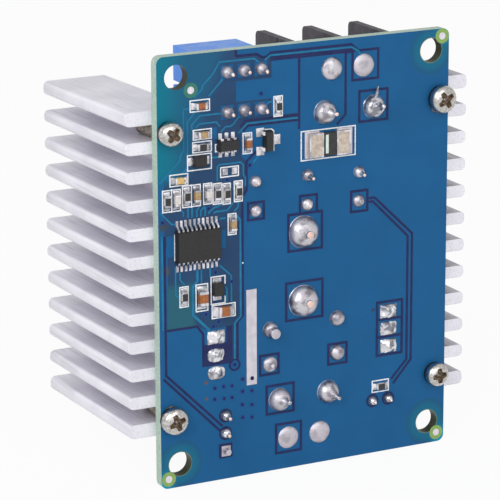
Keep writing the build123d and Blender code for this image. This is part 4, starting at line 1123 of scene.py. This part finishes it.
# Capacitors: sleeves shrunk over a rolled groove, and a scored aluminium top
def can(name, place, radius, height, node_name):
    base, sides = 1.9, 48
    x, z = place
    # Offsets from the side and heights from the bottom, then the same from the top
    profile = [(radius * 0.8, 0.0)] + [
        (radius - inset, level)
        for inset, level in (
            (0.25, 0.0), (0.05, 0.15), (0.0, 0.4), (0.0, 1.45), (0.12, 1.65), (0.3, 1.95),
            (0.3, 2.1), (0.12, 2.35), (0.0, 2.6),
        )
    ]
    profile += [
        (radius - inset, height - drop)
        for inset, drop in ((0.0, 0.5), (0.08, 0.2), (0.35, 0.03), (0.75, 0.0), (0.8, 0.12))
    ]
    shape = Shape()
    shape.lathe((x, base, z), 1, profile, sides)
    # Pale stripe down one side of the sleeve
    for row in range(3, 12):
        for k in range(7):
            shape.kinds[row * sides + k] = 1
    lid = [(radius - 0.8, height - 0.4), (radius - 0.8, height - 0.14)]
    lid += [(radius - 1.0, height - 0.1), (0.05, height - 0.08)]
    shape.lathe((x, base, z), 1, lid, sides, 2)
    top = base + height - 0.08
    arm = radius * 0.62
    for dx, dz, half_x, half_z in ((1, 0, 0.05, arm), (0, 1, arm, 0.05)):
        for offset in (-0.13, 0.13):
            px, pz = x + dx * offset, z + dz * offset
            ends_x, ends_z = (px - half_x, px + half_x), (pz - half_z, pz + half_z)
            shape.slab(*ends_x, *ends_z, top - 0.05, top + 0.04, 2)
    return shape.build(name, [sleeve, sleeve_band, can_top], "sleeve_black", [node_name], 40)


for label, place in zip(("left", "middle", "right"), small_cans):
    can(f"can_small_{label}", place, 3.9, 11.5, f"capacitor_small_{label}")
for label, place in zip(("left", "right"), large_cans):
    can(f"can_large_{label}", place, 4.9, 16.0, f"capacitor_large_{label}")


# Inductor winding along the same corners as the plain wire, with rounded bends
def winding_corners():
    outer, inner, face, corner = 10.945, 5.555, coil_lead, 0.8
    turns, half_gap, turn_angle = 16, 25, 310 / 16.4
    section = (
        (outer - corner, face, 0.0), (outer, face - corner, 0.06), (outer, -face + corner, 0.34),
        (outer - corner, -face, 0.4), (inner, -face, 0.58), (inner, face, 0.82),
    )
    # Lift of the winding, core, clearance and wire
    middle_y = THICKNESS + 0.25 + 10.2 + 0.12 + 1.25
    points = [(coil_x, y, coil_z + face) for y in (-1.4, 2.85)]
    for n in range(turns * 6 + 4):
        radius, height, share = section[n % 6]
        angle = math.radians(-90 + half_gap + (n // 6 + share) * turn_angle)
        x, y = coil_x + radius * math.cos(angle), middle_y + radius * math.sin(angle)
        points.append((x, y, coil_z + height))
    points += [(coil_x, y, coil_z - face) for y in (2.85, -1.4)]
    return [Vector(p) for p in points]


def rounded(points, cut):
    """Replaces each corner by a short smooth bend."""
    route = [points[0]]
    for before, here, after in zip(points, points[1:], points[2:]):
        back = before - here
        ahead = after - here
        near = here + back.normalized() * min(cut, back.length * 0.45)
        far = here + ahead.normalized() * min(cut, ahead.length * 0.45)
        for step in range(5):
            t = step / 4
            route.append(near * (1 - t) ** 2 + here * 2 * t * (1 - t) + far * t**2)
    route.append(points[-1])
    return route


coil = Shape()
coil.tube(rounded(winding_corners(), 0.9), 0.62, 12)
coil.build("coil", [enamel], "copper_wire", ["inductor_winding"], 60)


# Floor, lights and camera
def any_ray(tree, kinds):
    """One where a ray is of any of the kinds, and otherwise none."""
    path = tree.nodes.new("ShaderNodeLightPath")
    value = path.outputs[kinds[0]]
    for kind in kinds[1:]:
        both = tree.nodes.new("ShaderNodeMath")
        both.operation = "MAXIMUM"
        tree.links.new(value, both.inputs[0])
        tree.links.new(path.outputs[kind], both.inputs[1])
        value = both.outputs[0]
    return value


def blend(tree, factor, first, second, output):
    """Shows the second shader over the first by the factor."""
    mixed = tree.nodes.new("ShaderNodeMixShader")
    for target, value in zip(mixed.inputs, (factor, first, second)):
        tree.links.new(value, target)
    tree.links.new(mixed.outputs[0], tree.nodes[output].inputs["Surface"])


# Half the floor's width and its level, in metres
REACH, FLOOR_Z = 4.0, -0.0302
# How much of the floor is seen as plain white, and how bright the room is to the other rays
FLOOR_WHITE, ROOM_LIGHT = 0.93, 0.5
floor_mesh = bpy.data.meshes.new("floor")
corners = [(x * REACH, y * REACH, FLOOR_Z) for x, y in ((-1, -1), (1, -1), (1, 1), (-1, 1))]
floor_mesh.from_pydata(corners, [], [[0, 1, 2, 3]])
floor = bpy.data.objects.new("floor", floor_mesh)
bpy.context.scene.collection.objects.link(floor)
floor_look = bpy.data.materials.new("floor")
floor_look.use_nodes = True
tree = floor_look.node_tree
paper = tree.nodes["Principled BSDF"]
paper.inputs["Base Color"].default_value = (0.86, 0.86, 0.86, 1)
paper.inputs["Roughness"].default_value = 0.9
paper.inputs["Specular IOR Level"].default_value = 0.1
glow = tree.nodes.new("ShaderNodeEmission")
glow.inputs["Strength"].default_value = 1.0
share = tree.nodes.new("ShaderNodeMath")
share.operation = "MULTIPLY"
share.inputs[1].default_value = FLOOR_WHITE
seen = any_ray(tree, ("Is Camera Ray", "Is Glossy Ray", "Is Transmission Ray"))
tree.links.new(seen, share.inputs[0])
blend(tree, share.outputs[0], paper.outputs[0], glow.outputs[0], "Material Output")
floor_mesh.materials.append(floor_look)
floor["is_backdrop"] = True

world = bpy.data.worlds.new("studio")
bpy.context.scene.world = world
world.use_nodes = True
tree = world.node_tree
room = tree.nodes["Background"]
room.inputs["Color"].default_value = (1, 1, 1, 1)
room.inputs["Strength"].default_value = ROOM_LIGHT
white = tree.nodes.new("ShaderNodeBackground")
white.inputs["Strength"].default_value = 1.0
seen = any_ray(tree, ("Is Camera Ray", "Is Transmission Ray", "Is Glossy Ray"))
blend(tree, seen, room.outputs[0], white.outputs[0], "World Output")


def lamp(name, place, size, energy):
    """A soft square lamp aimed at the middle of the board."""
    data = bpy.data.lights.new(name, "AREA")
    data.shape = "SQUARE"
    data.size = size
    data.energy = energy
    made = bpy.data.objects.new(name, data)
    made.location = place
    made.rotation_mode = "QUATERNION"
    made.rotation_quaternion = (Vector((0, 0.012, 0)) - Vector(place)).to_track_quat("-Z", "Y")
    bpy.context.scene.collection.objects.link(made)


lamp("key", (-0.6, -0.4, 0.42), 0.5, 2.8)
lamp("front", (-0.05, -0.8, 0.3), 0.7, 2.8)
lamp("back", (-0.35, 0.7, 0.3), 0.6, 0.5)

camera_data = bpy.data.cameras.new("camera")
camera_data.sensor_width = 36
camera_data.lens = 199.856656
camera_data.clip_start = 0.01
camera_data.clip_end = 20
camera = bpy.data.objects.new("camera", camera_data)
camera.location = (-0.17296431, -0.32351104, 0.10136168)
camera.rotation_euler = [math.radians(v) for v in (74.68675433, 0.24702449, -26.99765092)]
bpy.context.scene.collection.objects.link(camera)
bpy.context.scene.camera = camera
bpy.context.scene.view_settings.view_transform = "Standard"

low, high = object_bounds()
